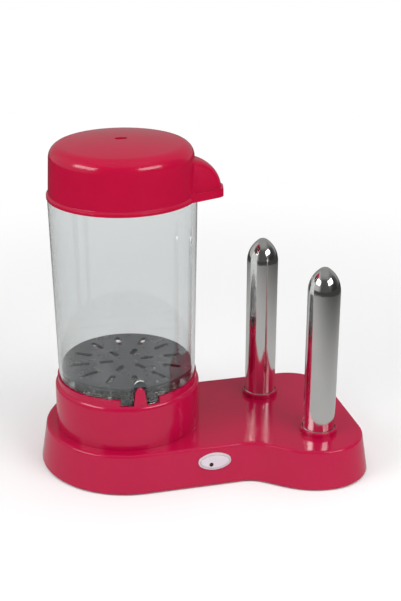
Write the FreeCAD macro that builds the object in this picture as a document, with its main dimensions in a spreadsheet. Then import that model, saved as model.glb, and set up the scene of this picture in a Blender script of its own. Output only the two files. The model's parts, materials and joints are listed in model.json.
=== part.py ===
"""Hot dog steamer with two heated bun spikes.

Frame: millimetres, +Z up, the origin on the table under the axis of the steam
tower, +X towards the bun spikes, -Y towards the front with the power button.
"""
import FreeCAD, Part
import math
import os
import Sketcher

Vector = FreeCAD.Vector
Rotation = FreeCAD.Rotation
Placement = FreeCAD.Placement

AXIS_X = Vector(1, 0, 0)
AXIS_Z = Vector(0, 0, 1)

SIZES = {
    # plastic mouldings
    "wall": 2.5,
    "fit_gap": 0.3,
    "slip_gap": 0.15,
    # base outline, measured at the deck
    "foot_drop": 1.5,
    "deck_rise": 32.4,
    "flare": 5.2,
    "deck_round": 2.4,
    "deck_ring": 8.8,
    "waist_radius": 34.0,
    "waist_angle": 37.6,
    "swell_radius": 55.0,
    "bun_lobe_x": 150.0,
    "bun_lobe_radius": 36.6,
    "front_lobe_y": -63.4,
    "rear_lobe_y": 13.7,
    "join_radius": 25.0,
    # steam tower
    "tower_rise": 38.5,
    "tower_radius": 60.8,
    "tower_draft": 0.3,
    "tower_round": 5.0,
    "lip_step": 2.2,
    "lip_rise": 5.5,
    "lip_wall": 2.2,
    "window_angle": 32.0,
    "ledge_drop": 6.4,
    "tower_spigot_wall": 1.3,
    "snap_bead": 0.7,
    "snap_bead_height": 1.6,
    # key tab that locates the tube
    "tab_width": 12.8,
    "tab_top_width": 8.0,
    "tab_rise": 15.0,
    "tab_thickness": 2.8,
    "tab_setback": 0.2,
    # clear tube
    "tube_step": 1.2,
    "tube_spread": 2.6,
    "tube_wall": 2.3,
    "tube_top_rise": 162.0,
    "tube_rebate": 0.9,
    "tube_seat_gap": 1.5,
    "spigot_wall": 2.0,
    "notch_side_gap": 1.8,
    "notch_top_gap": 1.0,
    "notch_head_gap": 7.0,
    "notch_frame": 1.4,
    "notch_frame_proud": 0.8,
    "tube_foot_gap": 0.6,
    "tube_foot_side_gap": 0.8,
    # floor that the sausages stand on
    "floor_rise": 15.0,
    "floor_thickness": 2.4,
    "slot_count": 12,
    "slot_length": 16.0,
    "slot_width": 4.6,
    "slot_margin": 7.5,
    "inner_slot_count": 6,
    "inner_slot_length": 12.0,
    "slot_ring_gap": 8.0,
    # lid
    "lid_cover": 2.4,
    "lid_lip_wall": 1.3,
    "lid_lip_height": 2.2,
    "lid_flare": 1.5,
    "lid_flare_rise": 1.5,
    "lid_draft": 2.0,
    "lid_wall": 2.4,
    "lid_side_height": 41.0,
    "lid_round": 11.0,
    "dome_rise": 4.6,
    "vent_length": 10.0,
    "vent_width": 6.0,
    # grip moulded on the lid
    "grip_turn": -11.5,
    "grip_length": 18.2,
    "grip_nose_height": 3.5,
    "grip_nose_radius": 26.0,
    "grip_root_depth": 5.4,
    "grip_root_half": 22.7,
    "grip_tip_half": 9.1,
    "grip_side_angle": 19.0,
    "grip_round": 6.5,
    "grip_lip": 1.6,
    "grip_lip_height": 6.2,
    # bun spikes
    "spike_radius": 13.3,
    "spike_rise": 145.0,
    "spike_wall": 0.8,
    "spike_nose_radius": 24.0,
    "spike_nose_flat": 3.0,
    "spike_rear_x": 122.5,
    "spike_rear_y": 15.7,
    "spike_swage": 0.5,
    "collar_wall": 1.65,
    "collar_rise": 4.5,
    "collar_round": 1.2,
    "flange_width": 5.3,
    "flange_thickness": 1.0,
    "insulator_thickness": 5.0,
    "insulator_setback": 1.0,
    "heater_gap": 1.0,
    "heater_bore": 2.0,
    "heater_groove": 1.5,
    "heater_cuff": 12.0,
    "heater_cap": 6.0,
    "heater_top_gap": 14.0,
    "plate_thickness": 1.5,
    "plate_margin": 1.5,
    "plate_bore": 5.0,
    "plate_end_radius": 5.0,
    "plate_boss_radius": 3.5,
    # boiler
    "bowl_gap": 1.0,
    "bowl_flange_width": 7.8,
    "bowl_depth": 25.2,
    "bowl_wall": 0.8,
    "bowl_round": 4.5,
    "heat_plate_margin": 8.0,
    "well_gap": 1.0,
    "seal_thickness": 1.2,
    "stud_count": 3,
    "stud_radius": 2.0,
    "stud_end": 2.0,
    "nut_flats": 7.0,
    "nut_height": 3.2,
    "heat_plate_thickness": 2.0,
    "element_margin": 4.8,
    "element_radius": 3.2,
    "element_sweep": 300.0,
    "element_pin_length": 12.0,
    "thermostat_radius": 8.0,
    "thermostat_step": 1.5,
    "thermostat_cap": 4.0,
    "thermostat_height": 12.0,
    "thermostat_blade_x": 3.5,
    "strap_gap": 1.8,
    "strap_width": 10.0,
    "strap_thickness": 0.8,
    "strap_nut_flats": 5.5,
    "strap_nut_height": 2.4,
    "fuse_radius": 2.2,
    "fuse_length": 16.0,
    "fuse_gap": 4.8,
    "fuse_wire_radius": 0.6,
    "fuse_wire_end": 4.0,
    # blade terminals
    "blade_thickness": 0.8,
    "blade_width": 4.8,
    "blade_length": 6.0,
    # power button
    "button_x": 58.0,
    "button_rise": 20.0,
    "bezel_length": 27.5,
    "bezel_height": 14.5,
    "bezel_end_radius": 4.6,
    "bezel_rim": 1.5,
    "bezel_proud": 1.6,
    "barrel_wall": 0.85,
    "cap_gap": 0.25,
    "cap_proud": 2.4,
    "cap_depth": 6.0,
    "cap_round": 0.9,
    "press_travel": 1.8,
    "press_gap": 0.2,
    "lamp_x": -3.3,
    "lamp_y": -2.0,
    "lamp_radius": 1.75,
    "lens_sink": 0.3,
    "lens_thickness": 1.9,
    "bulb_gap": 0.5,
    "bulb_length": 3.6,
    "stem_x": 5.0,
    "stem_radius": 2.4,
    "stem_length": 5.0,
    "switch_margin": 0.45,
    "switch_depth": 13.0,
    "switch_wall": 3.0,
    "switch_blade_pitch": 6.0,
    "spring_wire": 0.4,
    "spring_turns": 5,
    # cord gland and clamp
    "gland_x": 85.0,
    "gland_rise": 16.0,
    "gland_bore": 3.6,
    "gland_wall": 2.4,
    "gland_flange_width": 2.6,
    "gland_flange_thickness": 2.6,
    "gland_edge": 0.8,
    "gland_barb": 1.2,
    "gland_tail": 4.0,
    "clamp_setback": 18.3,
    "clamp_pitch": 18.0,
    "clamp_post_radius": 3.6,
    "clamp_post_height": 7.0,
    "clamp_bar_thickness": 3.0,
    # bottom cover, feet and screws
    "cover_thickness": 2.5,
    "cover_sink": 0.5,
    "boss_radius": 4.0,
    "boss_gap": 1.1,
    "waist_screw_x": 88.0,
    "front_screw_angle": -40.0,
    "rear_screw_angle": 45.0,
    "screw_radius": 1.5,
    "screw_head_radius": 3.0,
    "screw_head_height": 1.2,
    "screw_length": 12.0,
    "screw_hole_end": 2.0,
    "plate_screw_bite": 4.5,
    "foot_radius": 7.0,
    "foot_edge": 1.0,
    "foot_seat": 1.0,
    "foot_margin": 5.8,
    "tower_foot_angle": 140.0,
    "vent_slot_x": 62.0,
    "vent_slot_y": -10.0,
    "vent_slot_length": 26.0,
    "vent_slot_width": 2.6,
    "vent_slot_pitch": 6.5,
    "vent_slot_count": 6,
    # wiring
    "wire_radius": 1.1,
    "wire_spacing": 4.0,
    "block_offset": 10.0,
    "block_y": -26.0,
    "block_length": 30.0,
    "block_width": 16.0,
    "block_height": 11.0,
    "block_rail_height": 6.0,
    "block_tower_radius": 4.0,
    "block_well_radius": 2.2,
    "block_well_depth": 4.0,
}

doc = FreeCAD.newDocument("hot_dog_steamer")
NODES = []


class Size:
    """A number that carries the spreadsheet formula it comes from."""

    def __init__(self, number, formula):
        self.number = number
        self.formula = formula

    def __add__(self, other):
        return Size(self.number + number(other), f"({self.formula} + {formula(other)})")

    def __sub__(self, other):
        return Size(self.number - number(other), f"({self.formula} - {formula(other)})")

    def __mul__(self, other):
        return Size(self.number * number(other), f"({self.formula} * {formula(other)})")

    def __truediv__(self, other):
        return Size(self.number / number(other), f"({self.formula} / {formula(other)})")

    def __neg__(self):
        return Size(-self.number, f"(-1 * {self.formula})")

    def __radd__(self, other):
        return as_size(other) + self

    def __rsub__(self, other):
        return as_size(other) - self

    def __rmul__(self, other):
        return as_size(other) * self


def as_size(value):
    return value if isinstance(value, Size) else Size(float(value), repr(float(value)))


def number(size):
    return size.number if isinstance(size, Size) else float(size)


def formula(size):
    return size.formula if isinstance(size, Size) else repr(float(size))


def root(size):
    return Size(math.sqrt(size.number), f"sqrt({size.formula})")


def sine(degrees):
    return Size(math.sin(math.radians(number(degrees))), f"sin({formula(degrees)})")


def cosine(degrees):
    return Size(math.cos(math.radians(number(degrees))), f"cos({formula(degrees)})")


def tangent(degrees):
    return Size(math.tan(math.radians(number(degrees))), f"tan({formula(degrees)})")


def arctangent(size):
    return Size(math.degrees(math.atan(size.number)), f"atan({size.formula})")


class SizeSheet:
    """The spreadsheet of driving and derived sizes, each under its own alias."""

    def __init__(self, values):
        self.sheet = doc.addObject("Spreadsheet::Sheet", "Sizes")
        self.row = 0
        for alias, value in values.items():
            self.write(alias, repr(value), value)

    def write(self, alias, text, value):
        self.row += 1
        self.sheet.set(f"A{self.row}", alias)
        self.sheet.set(f"B{self.row}", text)
        self.sheet.setAlias(f"B{self.row}", alias)
        setattr(self, alias, Size(float(value), f"Sizes.{alias}"))

    def derive(self, alias, size):
        self.write(alias, "=" + size.formula.replace("Sizes.", ""), size.number)


dim = SizeSheet(SIZES)
# the base's round end leaves a ring of deck around the tower
dim.derive("lobe_radius", dim.tower_radius + dim.deck_ring)
# levels of the base and the tower
dim.derive("edge_z", dim.foot_drop + 0)
dim.derive("deck_z", dim.edge_z + dim.deck_rise)
dim.derive("under_deck_z", dim.deck_z - dim.wall)
dim.derive("shoulder_z", dim.deck_z + dim.tower_rise)
dim.derive("lip_z", dim.shoulder_z + dim.lip_rise)
dim.derive("ledge_z", dim.shoulder_z - dim.ledge_drop)
dim.derive("under_ledge_z", dim.ledge_z - dim.wall)
dim.derive("cover_z", dim.edge_z + dim.cover_sink)
dim.derive("cover_top_z", dim.cover_z + dim.cover_thickness)
dim.derive("lean", arctangent(dim.flare / dim.deck_rise))
dim.derive("back_y", dim.rear_lobe_y + dim.bun_lobe_radius)
# radii that follow one another from the tower outwards and inwards
dim.derive("shoulder_radius", dim.tower_radius - dim.tower_draft)
dim.derive("lip_radius", dim.shoulder_radius - dim.lip_step)
dim.derive("tower_bore", dim.shoulder_radius - dim.wall)
dim.derive("tower_spigot", dim.tower_bore + dim.tower_spigot_wall)
dim.derive("deck_hole", dim.tower_spigot + dim.slip_gap)
dim.derive("spigot_radius", dim.lip_radius - dim.lip_wall - dim.fit_gap)
dim.derive("spigot_bore", dim.spigot_radius - dim.spigot_wall)
dim.derive("tube_foot_radius", dim.lip_radius - dim.tube_step)
dim.derive("tube_top_radius", dim.tube_foot_radius + dim.tube_spread)
dim.derive("bowl_flange_radius", dim.spigot_bore - dim.bowl_gap)
dim.derive("bowl_radius", dim.bowl_flange_radius - dim.bowl_flange_width)
dim.derive("well_radius", dim.bowl_radius + dim.well_gap)
dim.derive("stud_circle", (dim.well_radius + dim.bowl_flange_radius) / 2)
dim.derive("heat_plate_radius", dim.bowl_radius - dim.heat_plate_margin)
dim.derive("element_ring_radius", dim.heat_plate_radius - dim.element_radius - dim.element_margin)
dim.derive("strap_stud_x",
           dim.element_ring_radius - dim.element_radius - dim.strap_width / 2 - dim.strap_gap)
# levels of the tube and the lid
dim.derive("tube_seat_z", dim.lip_z + dim.tube_seat_gap)
dim.derive("tube_foot_z", dim.shoulder_z + dim.tube_foot_gap)
dim.derive("tube_top_z", dim.shoulder_z + dim.tube_top_rise)
dim.derive("floor_z", dim.shoulder_z + dim.floor_rise)
dim.derive("floor_low_z", dim.floor_z - dim.floor_thickness)
dim.derive("tab_top_z", dim.shoulder_z + dim.tab_rise)
dim.derive("notch_top_z", dim.tab_top_z + dim.notch_head_gap)
dim.derive("rim_z", dim.tube_top_z - dim.lid_cover)
dim.derive("lid_lip_z", dim.rim_z + dim.lid_lip_height)
dim.derive("tube_neck_radius", dim.tube_top_radius - dim.tube_rebate)
dim.derive("lid_bore", dim.tube_neck_radius + dim.fit_gap)
dim.derive("lid_lip_radius", dim.lid_bore + dim.lid_lip_wall)
dim.derive("lid_skirt_radius", dim.lid_lip_radius - dim.lid_flare)
dim.derive("lid_shoulder_radius", dim.lid_skirt_radius - dim.lid_draft)
dim.derive("grip_reach", dim.lid_lip_radius + dim.grip_length)
dim.derive("grip_root", dim.lid_shoulder_radius - dim.grip_root_depth)
# bun spikes and what holds them
dim.derive("spike_foot_radius", dim.spike_radius + dim.spike_swage)
dim.derive("collar_radius", dim.spike_foot_radius + dim.slip_gap + dim.collar_wall)
dim.derive("collar_top_z", dim.deck_z + dim.collar_rise)
dim.derive("flange_radius", dim.spike_radius + dim.flange_width)
dim.derive("flange_low_z", dim.under_deck_z - dim.flange_thickness)
dim.derive("plate_top_z", dim.flange_low_z - dim.insulator_thickness)
dim.derive("plate_z", dim.plate_top_z - dim.plate_thickness)
dim.derive("heater_radius", dim.spike_radius - dim.spike_wall - dim.heater_gap)
dim.derive("plate_screw_x", dim.flange_radius + dim.plate_boss_radius + dim.fit_gap)
# power button, cord gland and clamp
dim.derive("bezel_depth", dim.cap_depth + dim.press_travel + dim.press_gap)
dim.derive("barrel_inset", dim.bezel_rim - dim.barrel_wall)
dim.derive("gland_neck", dim.gland_bore + dim.gland_wall)
dim.derive("gland_flange", dim.gland_neck + dim.gland_flange_width)
dim.derive("clamp_y", dim.back_y - dim.clamp_setback)
dim.derive("block_x", dim.gland_x + dim.block_offset)


# ---------------------------------------------------------------- drawing aids

def bind(thing, path, size):
    """Tie one property to the sheet, or set it where it is a plain number."""
    if isinstance(size, Size):
        thing.setExpression(path, size.formula)
    else:
        setattr(thing, path, size)


def place(thing, x=0.0, y=0.0, z=0.0, turn=None):
    """Put an object at a point given by sizes, turned by a Rotation."""
    thing.Placement = Placement(Vector(number(x), number(y), number(z)), turn or Rotation())
    for letter, size in (("x", x), ("y", y), ("z", z)):
        if isinstance(size, Size):
            thing.setExpression(f"Placement.Base.{letter}", size.formula)
    return thing


def new_body(name):
    body = doc.addObject("PartDesign::Body", name)
    body.Label = name
    return body


def new_sketch(body, name, role, height=None):
    """A sketch on one of the body's own origin planes, raised by a size."""
    plane = next(f for f in body.Origin.OriginFeatures if f.Role == role)
    sketch = body.newObject("Sketcher::SketchObject", name)
    sketch.AttachmentSupport = [(plane, "")]
    sketch.MapMode = "FlatFace"
    if height is not None:
        sketch.AttachmentOffset = Placement(Vector(0, 0, number(height)), Rotation())
        bind(sketch, "AttachmentOffset.Base.z", height)
    return sketch


def arc_between(start, end, radius):
    """The short arc from start to end; a positive radius turns left."""
    chord = end - start
    left = Vector(-chord.y, chord.x, 0)
    left.normalize()
    rise = math.sqrt(max(radius ** 2 - (chord.Length / 2) ** 2, 0.0))
    centre = (start + end) * 0.5 + left * math.copysign(rise, radius)
    circle = Part.Circle(centre, AXIS_Z, abs(radius))
    first, last = (start, end) if radius > 0 else (end, start)
    from_angle = math.atan2(first.y - centre.y, first.x - centre.x)
    to_angle = math.atan2(last.y - centre.y, last.x - centre.x)
    return Part.ArcOfCircle(circle, from_angle, to_angle)


def draw(sketch, path):
    """Draw a closed profile whose corners and arc radii are tied to the sheet.

    A corner is (x, y), or (x, y, radius) where an arc leads to it.
    """
    points = [Vector(number(corner[0]), number(corner[1]), 0) for corner in path]
    ends = []
    rules = []
    for index, corner in enumerate(path):
        start, end = points[index - 1], points[index]
        if len(corner) == 3:
            piece = sketch.addGeometry(arc_between(start, end, number(corner[2])), False)
            turns_left = number(corner[2]) > 0
            ends.append((piece, 1, 2) if turns_left else (piece, 2, 1))
            rule = sketch.addConstraint(Sketcher.Constraint("Radius", piece, abs(number(corner[2]))))
            rules.append((rule, corner[2] if turns_left else -as_size(corner[2])))
        else:
            piece = sketch.addGeometry(Part.LineSegment(start, end), False)
            ends.append((piece, 1, 2))
    for index, corner in enumerate(path):
        piece, _, last = ends[index]
        following, first, _ = ends[(index + 1) % len(path)]
        sketch.addConstraint(Sketcher.Constraint("Coincident", piece, last, following, first))
        for kind, size in (("DistanceX", corner[0]), ("DistanceY", corner[1])):
            rule = sketch.addConstraint(
                Sketcher.Constraint(kind, -1, 1, piece, last, number(size)))
            rules.append((rule, size))
    for rule, size in rules:
        if isinstance(size, Size):
            sketch.renameConstraint(rule, f"size{rule}")
            sketch.setExpression(f"Constraints.size{rule}", size.formula)


def turned(name, path, sweep=None):
    """A body of revolution about Z; a sweep makes a sector centred on +X."""
    body = new_body(name)
    sketch = new_sketch(body, name + "_profile", "XZ_Plane")
    draw(sketch, path)
    feature = body.newObject("PartDesign::Revolution", name + "_turn")
    feature.Profile = sketch
    feature.ReferenceAxis = (sketch, ["V_Axis"])
    feature.Angle = 360
    if sweep is not None:
        feature.Midplane = True
        bind(feature, "Angle", sweep)
    return body


def extruded(name, role, path, height, offset=None, both_ways=False, taper=None):
    """A body padded from a closed profile on an origin plane."""
    body = new_body(name)
    sketch = new_sketch(body, name + "_profile", role, offset)
    draw(sketch, path)
    feature = body.newObject("PartDesign::Pad", name + "_pad")
    feature.Profile = sketch
    bind(feature, "Length", height)
    if both_ways:
        feature.SideType = "Symmetric"
    if taper is not None:
        bind(feature, "TaperAngle", taper)
    return body


def rod(name, radius, height, x=0.0, y=0.0, z=0.0, turn=None):
    thing = doc.addObject("Part::Cylinder", name)
    bind(thing, "Radius", radius)
    bind(thing, "Height", height)
    return place(thing, x, y, z, turn)


def block(name, length, width, height, x=0.0, y=0.0, z=0.0):
    """A box centred on x and y, standing on z."""
    thing = doc.addObject("Part::Box", name)
    bind(thing, "Length", length)
    bind(thing, "Width", width)
    bind(thing, "Height", height)
    return place(thing, as_size(x) - as_size(length) / 2, as_size(y) - as_size(width) / 2, z)


def fused(name, parts):
    thing = doc.addObject("Part::MultiFuse", name)
    thing.Shapes = parts
    return thing


def cut(name, base, tool):
    thing = doc.addObject("Part::Cut", name)
    thing.Base = base
    thing.Tool = tool
    return thing


def rounded(body, name, radius, chosen):
    """A fillet on the edges of the body's tip that chosen(edge) picks."""
    doc.recompute()
    base = body.Tip
    edges = [f"Edge{index}" for index, edge in enumerate(base.Shape.Edges, 1) if chosen(edge)]
    if not edges:
        raise RuntimeError(f"{name}: no edge to round")
    feature = body.newObject("PartDesign::Fillet", name)
    feature.Base = (base, edges)
    bind(feature, "Radius", radius)
    return feature


def node(name, thing):
    """Name the finished piece; its label is also the name of its file."""
    thing.Label = name
    NODES.append(thing)
    return thing


def oval_path(length, height):
    """A stadium outline: two straight sides and two round ends."""
    straight = (length - height) / 2
    half = height / 2
    return [
        (straight, -half),
        (straight + half, 0.0, half),
        (straight, half, half),
        (-straight, half),
        (-(straight + half), 0.0, half),
        (-straight, -half, half),
    ]


def level(z_low, z_high):
    """Picks the edges that lie wholly between two heights."""
    def inside(edge):
        box = edge.BoundBox
        return box.ZMin > number(z_low) - 0.01 and box.ZMax < number(z_high) + 0.01
    return inside


# ---------------------------------------------------------------- base outline

def outset_at(z):
    """How far the leaning side wall stands outside the deck outline."""
    return dim.flare * (dim.deck_z - z) / dim.deck_rise


def outline_path(outset):
    """The base seen from above, all round arcs tangent to their neighbours.

    The tower lobe is a circle about the origin. A straight front leads to a
    hollow waist, a slanting run and the round lobes of the two bun spikes.
    """
    slant_sine = sine(dim.waist_angle)
    slant_cosine = cosine(dim.waist_angle)
    swell_y = dim.front_lobe_y - dim.bun_lobe_radius + dim.swell_radius
    slant_end_x = dim.bun_lobe_x - dim.swell_radius * slant_sine
    slant_end_y = swell_y - dim.swell_radius * slant_cosine
    drop = dim.lobe_radius + dim.waist_radius + slant_end_y
    waist_x = slant_end_x - (dim.waist_radius - slant_cosine * drop) / slant_sine
    waist_y = -dim.lobe_radius - dim.waist_radius
    join_y = dim.back_y + dim.join_radius
    join_reach = dim.lobe_radius + dim.join_radius
    join_x = root(join_reach * join_reach - join_y * join_y)
    lobe = dim.lobe_radius + outset
    bun_lobe = dim.bun_lobe_radius + outset
    waist = dim.waist_radius - outset
    swell = dim.swell_radius + outset
    join = dim.join_radius - outset
    return [
        (0.0, -lobe, lobe),
        (waist_x, -lobe),
        (waist_x + waist * slant_sine, waist_y + waist * slant_cosine, -waist),
        (dim.bun_lobe_x - swell * slant_sine, swell_y - swell * slant_cosine),
        (dim.bun_lobe_x, swell_y - swell, swell),
        (dim.bun_lobe_x + bun_lobe, dim.front_lobe_y, bun_lobe),
        (dim.bun_lobe_x + bun_lobe, dim.rear_lobe_y),
        (dim.bun_lobe_x, dim.rear_lobe_y + bun_lobe, bun_lobe),
        (join_x, dim.back_y + outset),
        (join_x * lobe / join_reach, join_y * lobe / join_reach, -join),
        (-lobe, 0.0, lobe),
    ]


def base_block(name, inset, low, high):
    """A slab with the base outline and the lean of its side walls."""
    path = outline_path(outset_at(low) - inset)
    return extruded(name, "XY_Plane", path, high - low, offset=low, taper=-dim.lean)


# ---------------------------------------------------------------- upper housing

def round_from(x, y, distance, angle):
    """The point at a distance and an angle from (x, y)."""
    return x + distance * cosine(angle), y + distance * sine(angle)


def cover_screw_points():
    """Two screws round the tower, one at the waist and one in each bun lobe."""
    inside = dim.wall + dim.boss_radius + dim.boss_gap
    ring = dim.lobe_radius - inside
    lobe_ring = dim.bun_lobe_radius - inside
    return [
        (-ring, 0.0),
        (0.0, ring),
        (dim.waist_screw_x, -ring),
        round_from(dim.bun_lobe_x, dim.front_lobe_y, lobe_ring, dim.front_screw_angle),
        round_from(dim.bun_lobe_x, dim.rear_lobe_y, lobe_ring, dim.rear_screw_angle),
    ]


def foot_points():
    """One foot under the tower's axis, two round the tower, one in each bun lobe."""
    inside = dim.foot_radius + dim.foot_margin
    return [
        (0.0, 0.0),
        round_from(0.0, 0.0, dim.lobe_radius - inside, dim.tower_foot_angle),
        round_from(0.0, 0.0, dim.lobe_radius - inside, -dim.tower_foot_angle),
        (dim.bun_lobe_x, dim.front_lobe_y - dim.bun_lobe_radius + inside),
        (dim.bun_lobe_x, dim.rear_lobe_y + dim.bun_lobe_radius - inside),
    ]


def spikes():
    """Name and axis of each bun spike."""
    return [
        ("front", dim.bun_lobe_x, dim.front_lobe_y),
        ("rear", dim.spike_rear_x, dim.spike_rear_y),
    ]


def plate_ends(x, y):
    """Centres of the two screws that hold a spike's plate."""
    return [(x - dim.plate_screw_x, y), (x + dim.plate_screw_x, y)]


def tower_body():
    """Steam tower: drafted wall, rounded shoulder, standing lip and snap-in foot."""
    run = dim.tower_round - dim.lip_step
    fall = root(dim.tower_round * dim.tower_round - run * run)
    bead_low = dim.under_deck_z - dim.slip_gap - dim.snap_bead_height
    return turned("tower_outside", [
        (0.0, bead_low),
        (dim.tower_spigot, bead_low),
        (dim.tower_spigot + dim.snap_bead, dim.under_deck_z - dim.slip_gap - dim.snap_bead),
        (dim.tower_spigot + dim.snap_bead, dim.under_deck_z - dim.slip_gap),
        (dim.tower_spigot, dim.under_deck_z - dim.slip_gap),
        (dim.tower_spigot, dim.deck_z),
        (dim.tower_radius, dim.deck_z),
        (dim.shoulder_radius, dim.shoulder_z - fall),
        (dim.lip_radius, dim.shoulder_z, dim.tower_round),
        (dim.lip_radius, dim.lip_z),
        (0.0, dim.lip_z),
    ])


def tower_hollow():
    """Boiler room, well opening and the recess that takes the tube."""
    inside = dim.tower_bore
    recess = dim.lip_radius - dim.lip_wall
    low = dim.under_deck_z - dim.snap_bead_height - 2
    return turned("tower_inside", [
        (0.0, low),
        (inside, low),
        (inside, dim.under_ledge_z - dim.wall),
        (inside - dim.wall, dim.under_ledge_z),
        (dim.well_radius, dim.under_ledge_z),
        (dim.well_radius, dim.ledge_z),
        (recess, dim.ledge_z),
        (recess, dim.lip_z + 1),
        (0.0, dim.lip_z + 1),
    ])


def lip_window():
    """Gap in the lip at the front, where the tube's feet and the tab stand."""
    cutter = turned("lip_window", [
        (dim.lip_radius - dim.lip_wall - 1, dim.shoulder_z),
        (dim.lip_radius + 1, dim.shoulder_z),
        (dim.lip_radius + 1, dim.lip_z + 1),
        (dim.lip_radius - dim.lip_wall - 1, dim.lip_z + 1),
    ], sweep=dim.window_angle)
    return place(cutter, turn=Rotation(AXIS_Z, -90))


def arch_path(width, top_width, low, high):
    """An upright tongue with leaning sides and a round top, seen from the front."""
    half = width / 2
    top = top_width / 2
    return [
        (half, low),
        (top, high - top),
        (0.0, high, top),
        (-top, high - top, top),
        (-half, low),
    ]


def key_tab():
    """Tongue that rises from the tower's rim into the notch of the tube."""
    outer = dim.lip_radius - dim.tab_setback
    path = arch_path(dim.tab_width, dim.tab_top_width, dim.ledge_z - 1, dim.tab_top_z)
    return extruded("key_tab", "XZ_Plane", path, dim.tab_thickness, offset=outer - dim.tab_thickness)


def collar(which, x, y):
    body = turned(f"collar_{which}", [
        (0.0, dim.under_deck_z),
        (dim.collar_radius, dim.under_deck_z),
        (dim.collar_radius, dim.collar_top_z),
        (0.0, dim.collar_top_z),
    ])
    rounded(body, f"collar_{which}_round", dim.collar_round,
            level(dim.collar_top_z, dim.collar_top_z))
    return place(body, x, y)


def wall_frame(x, rise, side):
    """Placement on the outside of the front (side -1) or back (side 1) wall.

    Its local Z points straight out of the leaning wall and its local X along +X.
    """
    z = dim.edge_z + rise
    straight = dim.lobe_radius if side < 0 else dim.back_y
    reach = straight + outset_at(z)
    tilt = side * (dim.lean.number - 90)
    return Placement(Vector(x.number, side * reach.number, z.number), Rotation(AXIS_X, tilt))


def fixed(thing, placement):
    thing.Placement = placement
    return thing


def button_path(inset):
    """The button's ellipse in four tangent arcs, drawn in evenly all round."""
    half_length = dim.bezel_length / 2 - inset
    half_height = dim.bezel_height / 2 - inset
    end = dim.bezel_end_radius - inset
    side = ((half_length * half_length + half_height * half_height - half_length * end * 2)
            / ((half_height - end) * 2))
    centre_gap = side - end
    meet_x = (half_length - end) * side / centre_gap
    meet_y = (side - half_height) * end / centre_gap
    return [
        (meet_x, -meet_y, side),
        (meet_x, meet_y, end),
        (-meet_x, meet_y, side),
        (-meet_x, -meet_y, end),
    ]


def button_slab(name, inset, low, high, placement):
    """A slab of the button's outline between two levels of a wall frame."""
    body = extruded(name, "XY_Plane", button_path(inset), high - low, offset=as_size(low))
    return fixed(body, placement)


def upper_housing():
    outside = base_block("skirt_outside", as_size(0.0), dim.edge_z, dim.deck_z)
    rounded(outside, "deck_edge_round", dim.deck_round, level(dim.deck_z, dim.deck_z))
    inside = base_block("skirt_inside", dim.wall, dim.edge_z - 1, dim.under_deck_z)
    solid = fused("housing_solid", [outside] + [collar(*spike) for spike in spikes()])
    shell = cut("housing_shell", solid, inside)
    relief_low = dim.under_deck_z - dim.snap_bead_height - dim.fit_gap * 2
    relief = rod("snap_relief", dim.deck_hole + dim.snap_bead,
                 dim.under_deck_z - relief_low, z=relief_low)
    removed = [rod("deck_hole", dim.deck_hole, dim.wall + 4, z=dim.under_deck_z - 2), relief]
    added = []
    for index, (x, y) in enumerate(cover_screw_points(), 1):
        added.append(rod(f"cover_boss_{index}", dim.boss_radius,
                         dim.under_deck_z - dim.cover_top_z + 0.5, x, y, dim.cover_top_z))
        removed.append(rod(f"cover_pilot_{index}", dim.screw_radius,
                           dim.screw_length + dim.screw_hole_end, x, y, dim.cover_top_z - 1))
    for which, x, y in spikes():
        through = dim.collar_rise + dim.wall + 2
        removed.append(rod(f"spike_hole_{which}", dim.spike_foot_radius + dim.slip_gap,
                           through, x, y, dim.under_deck_z - 1))
        for index, (end_x, end_y) in enumerate(plate_ends(x, y), 1):
            added.append(rod(f"plate_boss_{which}_{index}", dim.plate_boss_radius,
                             dim.under_deck_z - dim.plate_top_z + 0.5,
                             end_x, end_y, dim.plate_top_z))
            removed.append(rod(f"plate_pilot_{which}_{index}", dim.screw_radius,
                               dim.plate_screw_bite + 2, end_x, end_y, dim.plate_top_z - 1))
    front = wall_frame(dim.button_x, dim.button_rise, -1)
    removed.append(button_slab("button_opening", dim.barrel_inset - dim.slip_gap,
                               -dim.wall - 2, dim.wall, front))
    back = wall_frame(dim.gland_x, dim.gland_rise, 1)
    removed.append(fixed(rod("gland_opening", dim.gland_neck + dim.slip_gap, dim.wall + 4),
                         back * Placement(Vector(0, 0, -dim.wall.number - 2), Rotation())))
    full = fused("housing_with_bosses", [shell] + added)
    holes = fused("housing_holes", removed)
    node("upper_housing", cut("upper_housing", full, holes))


def boiler_tower():
    """The tower is a moulding of its own, pushed through the deck until it snaps in."""
    shell = cut("tower_shell", tower_body(), fused("tower_hollow", [tower_hollow(), lip_window()]))
    holes = [rod(f"stud_hole_{index}", dim.stud_radius + dim.fit_gap, dim.wall + 2,
                 x, y, dim.under_ledge_z - 1) for index, (x, y) in enumerate(stud_points(), 1)]
    node("boiler_tower", cut("boiler_tower", fused("tower_with_tab", [shell, key_tab()]),
                             fused("stud_holes", holes)))


# ---------------------------------------------------------------- underside

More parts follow.
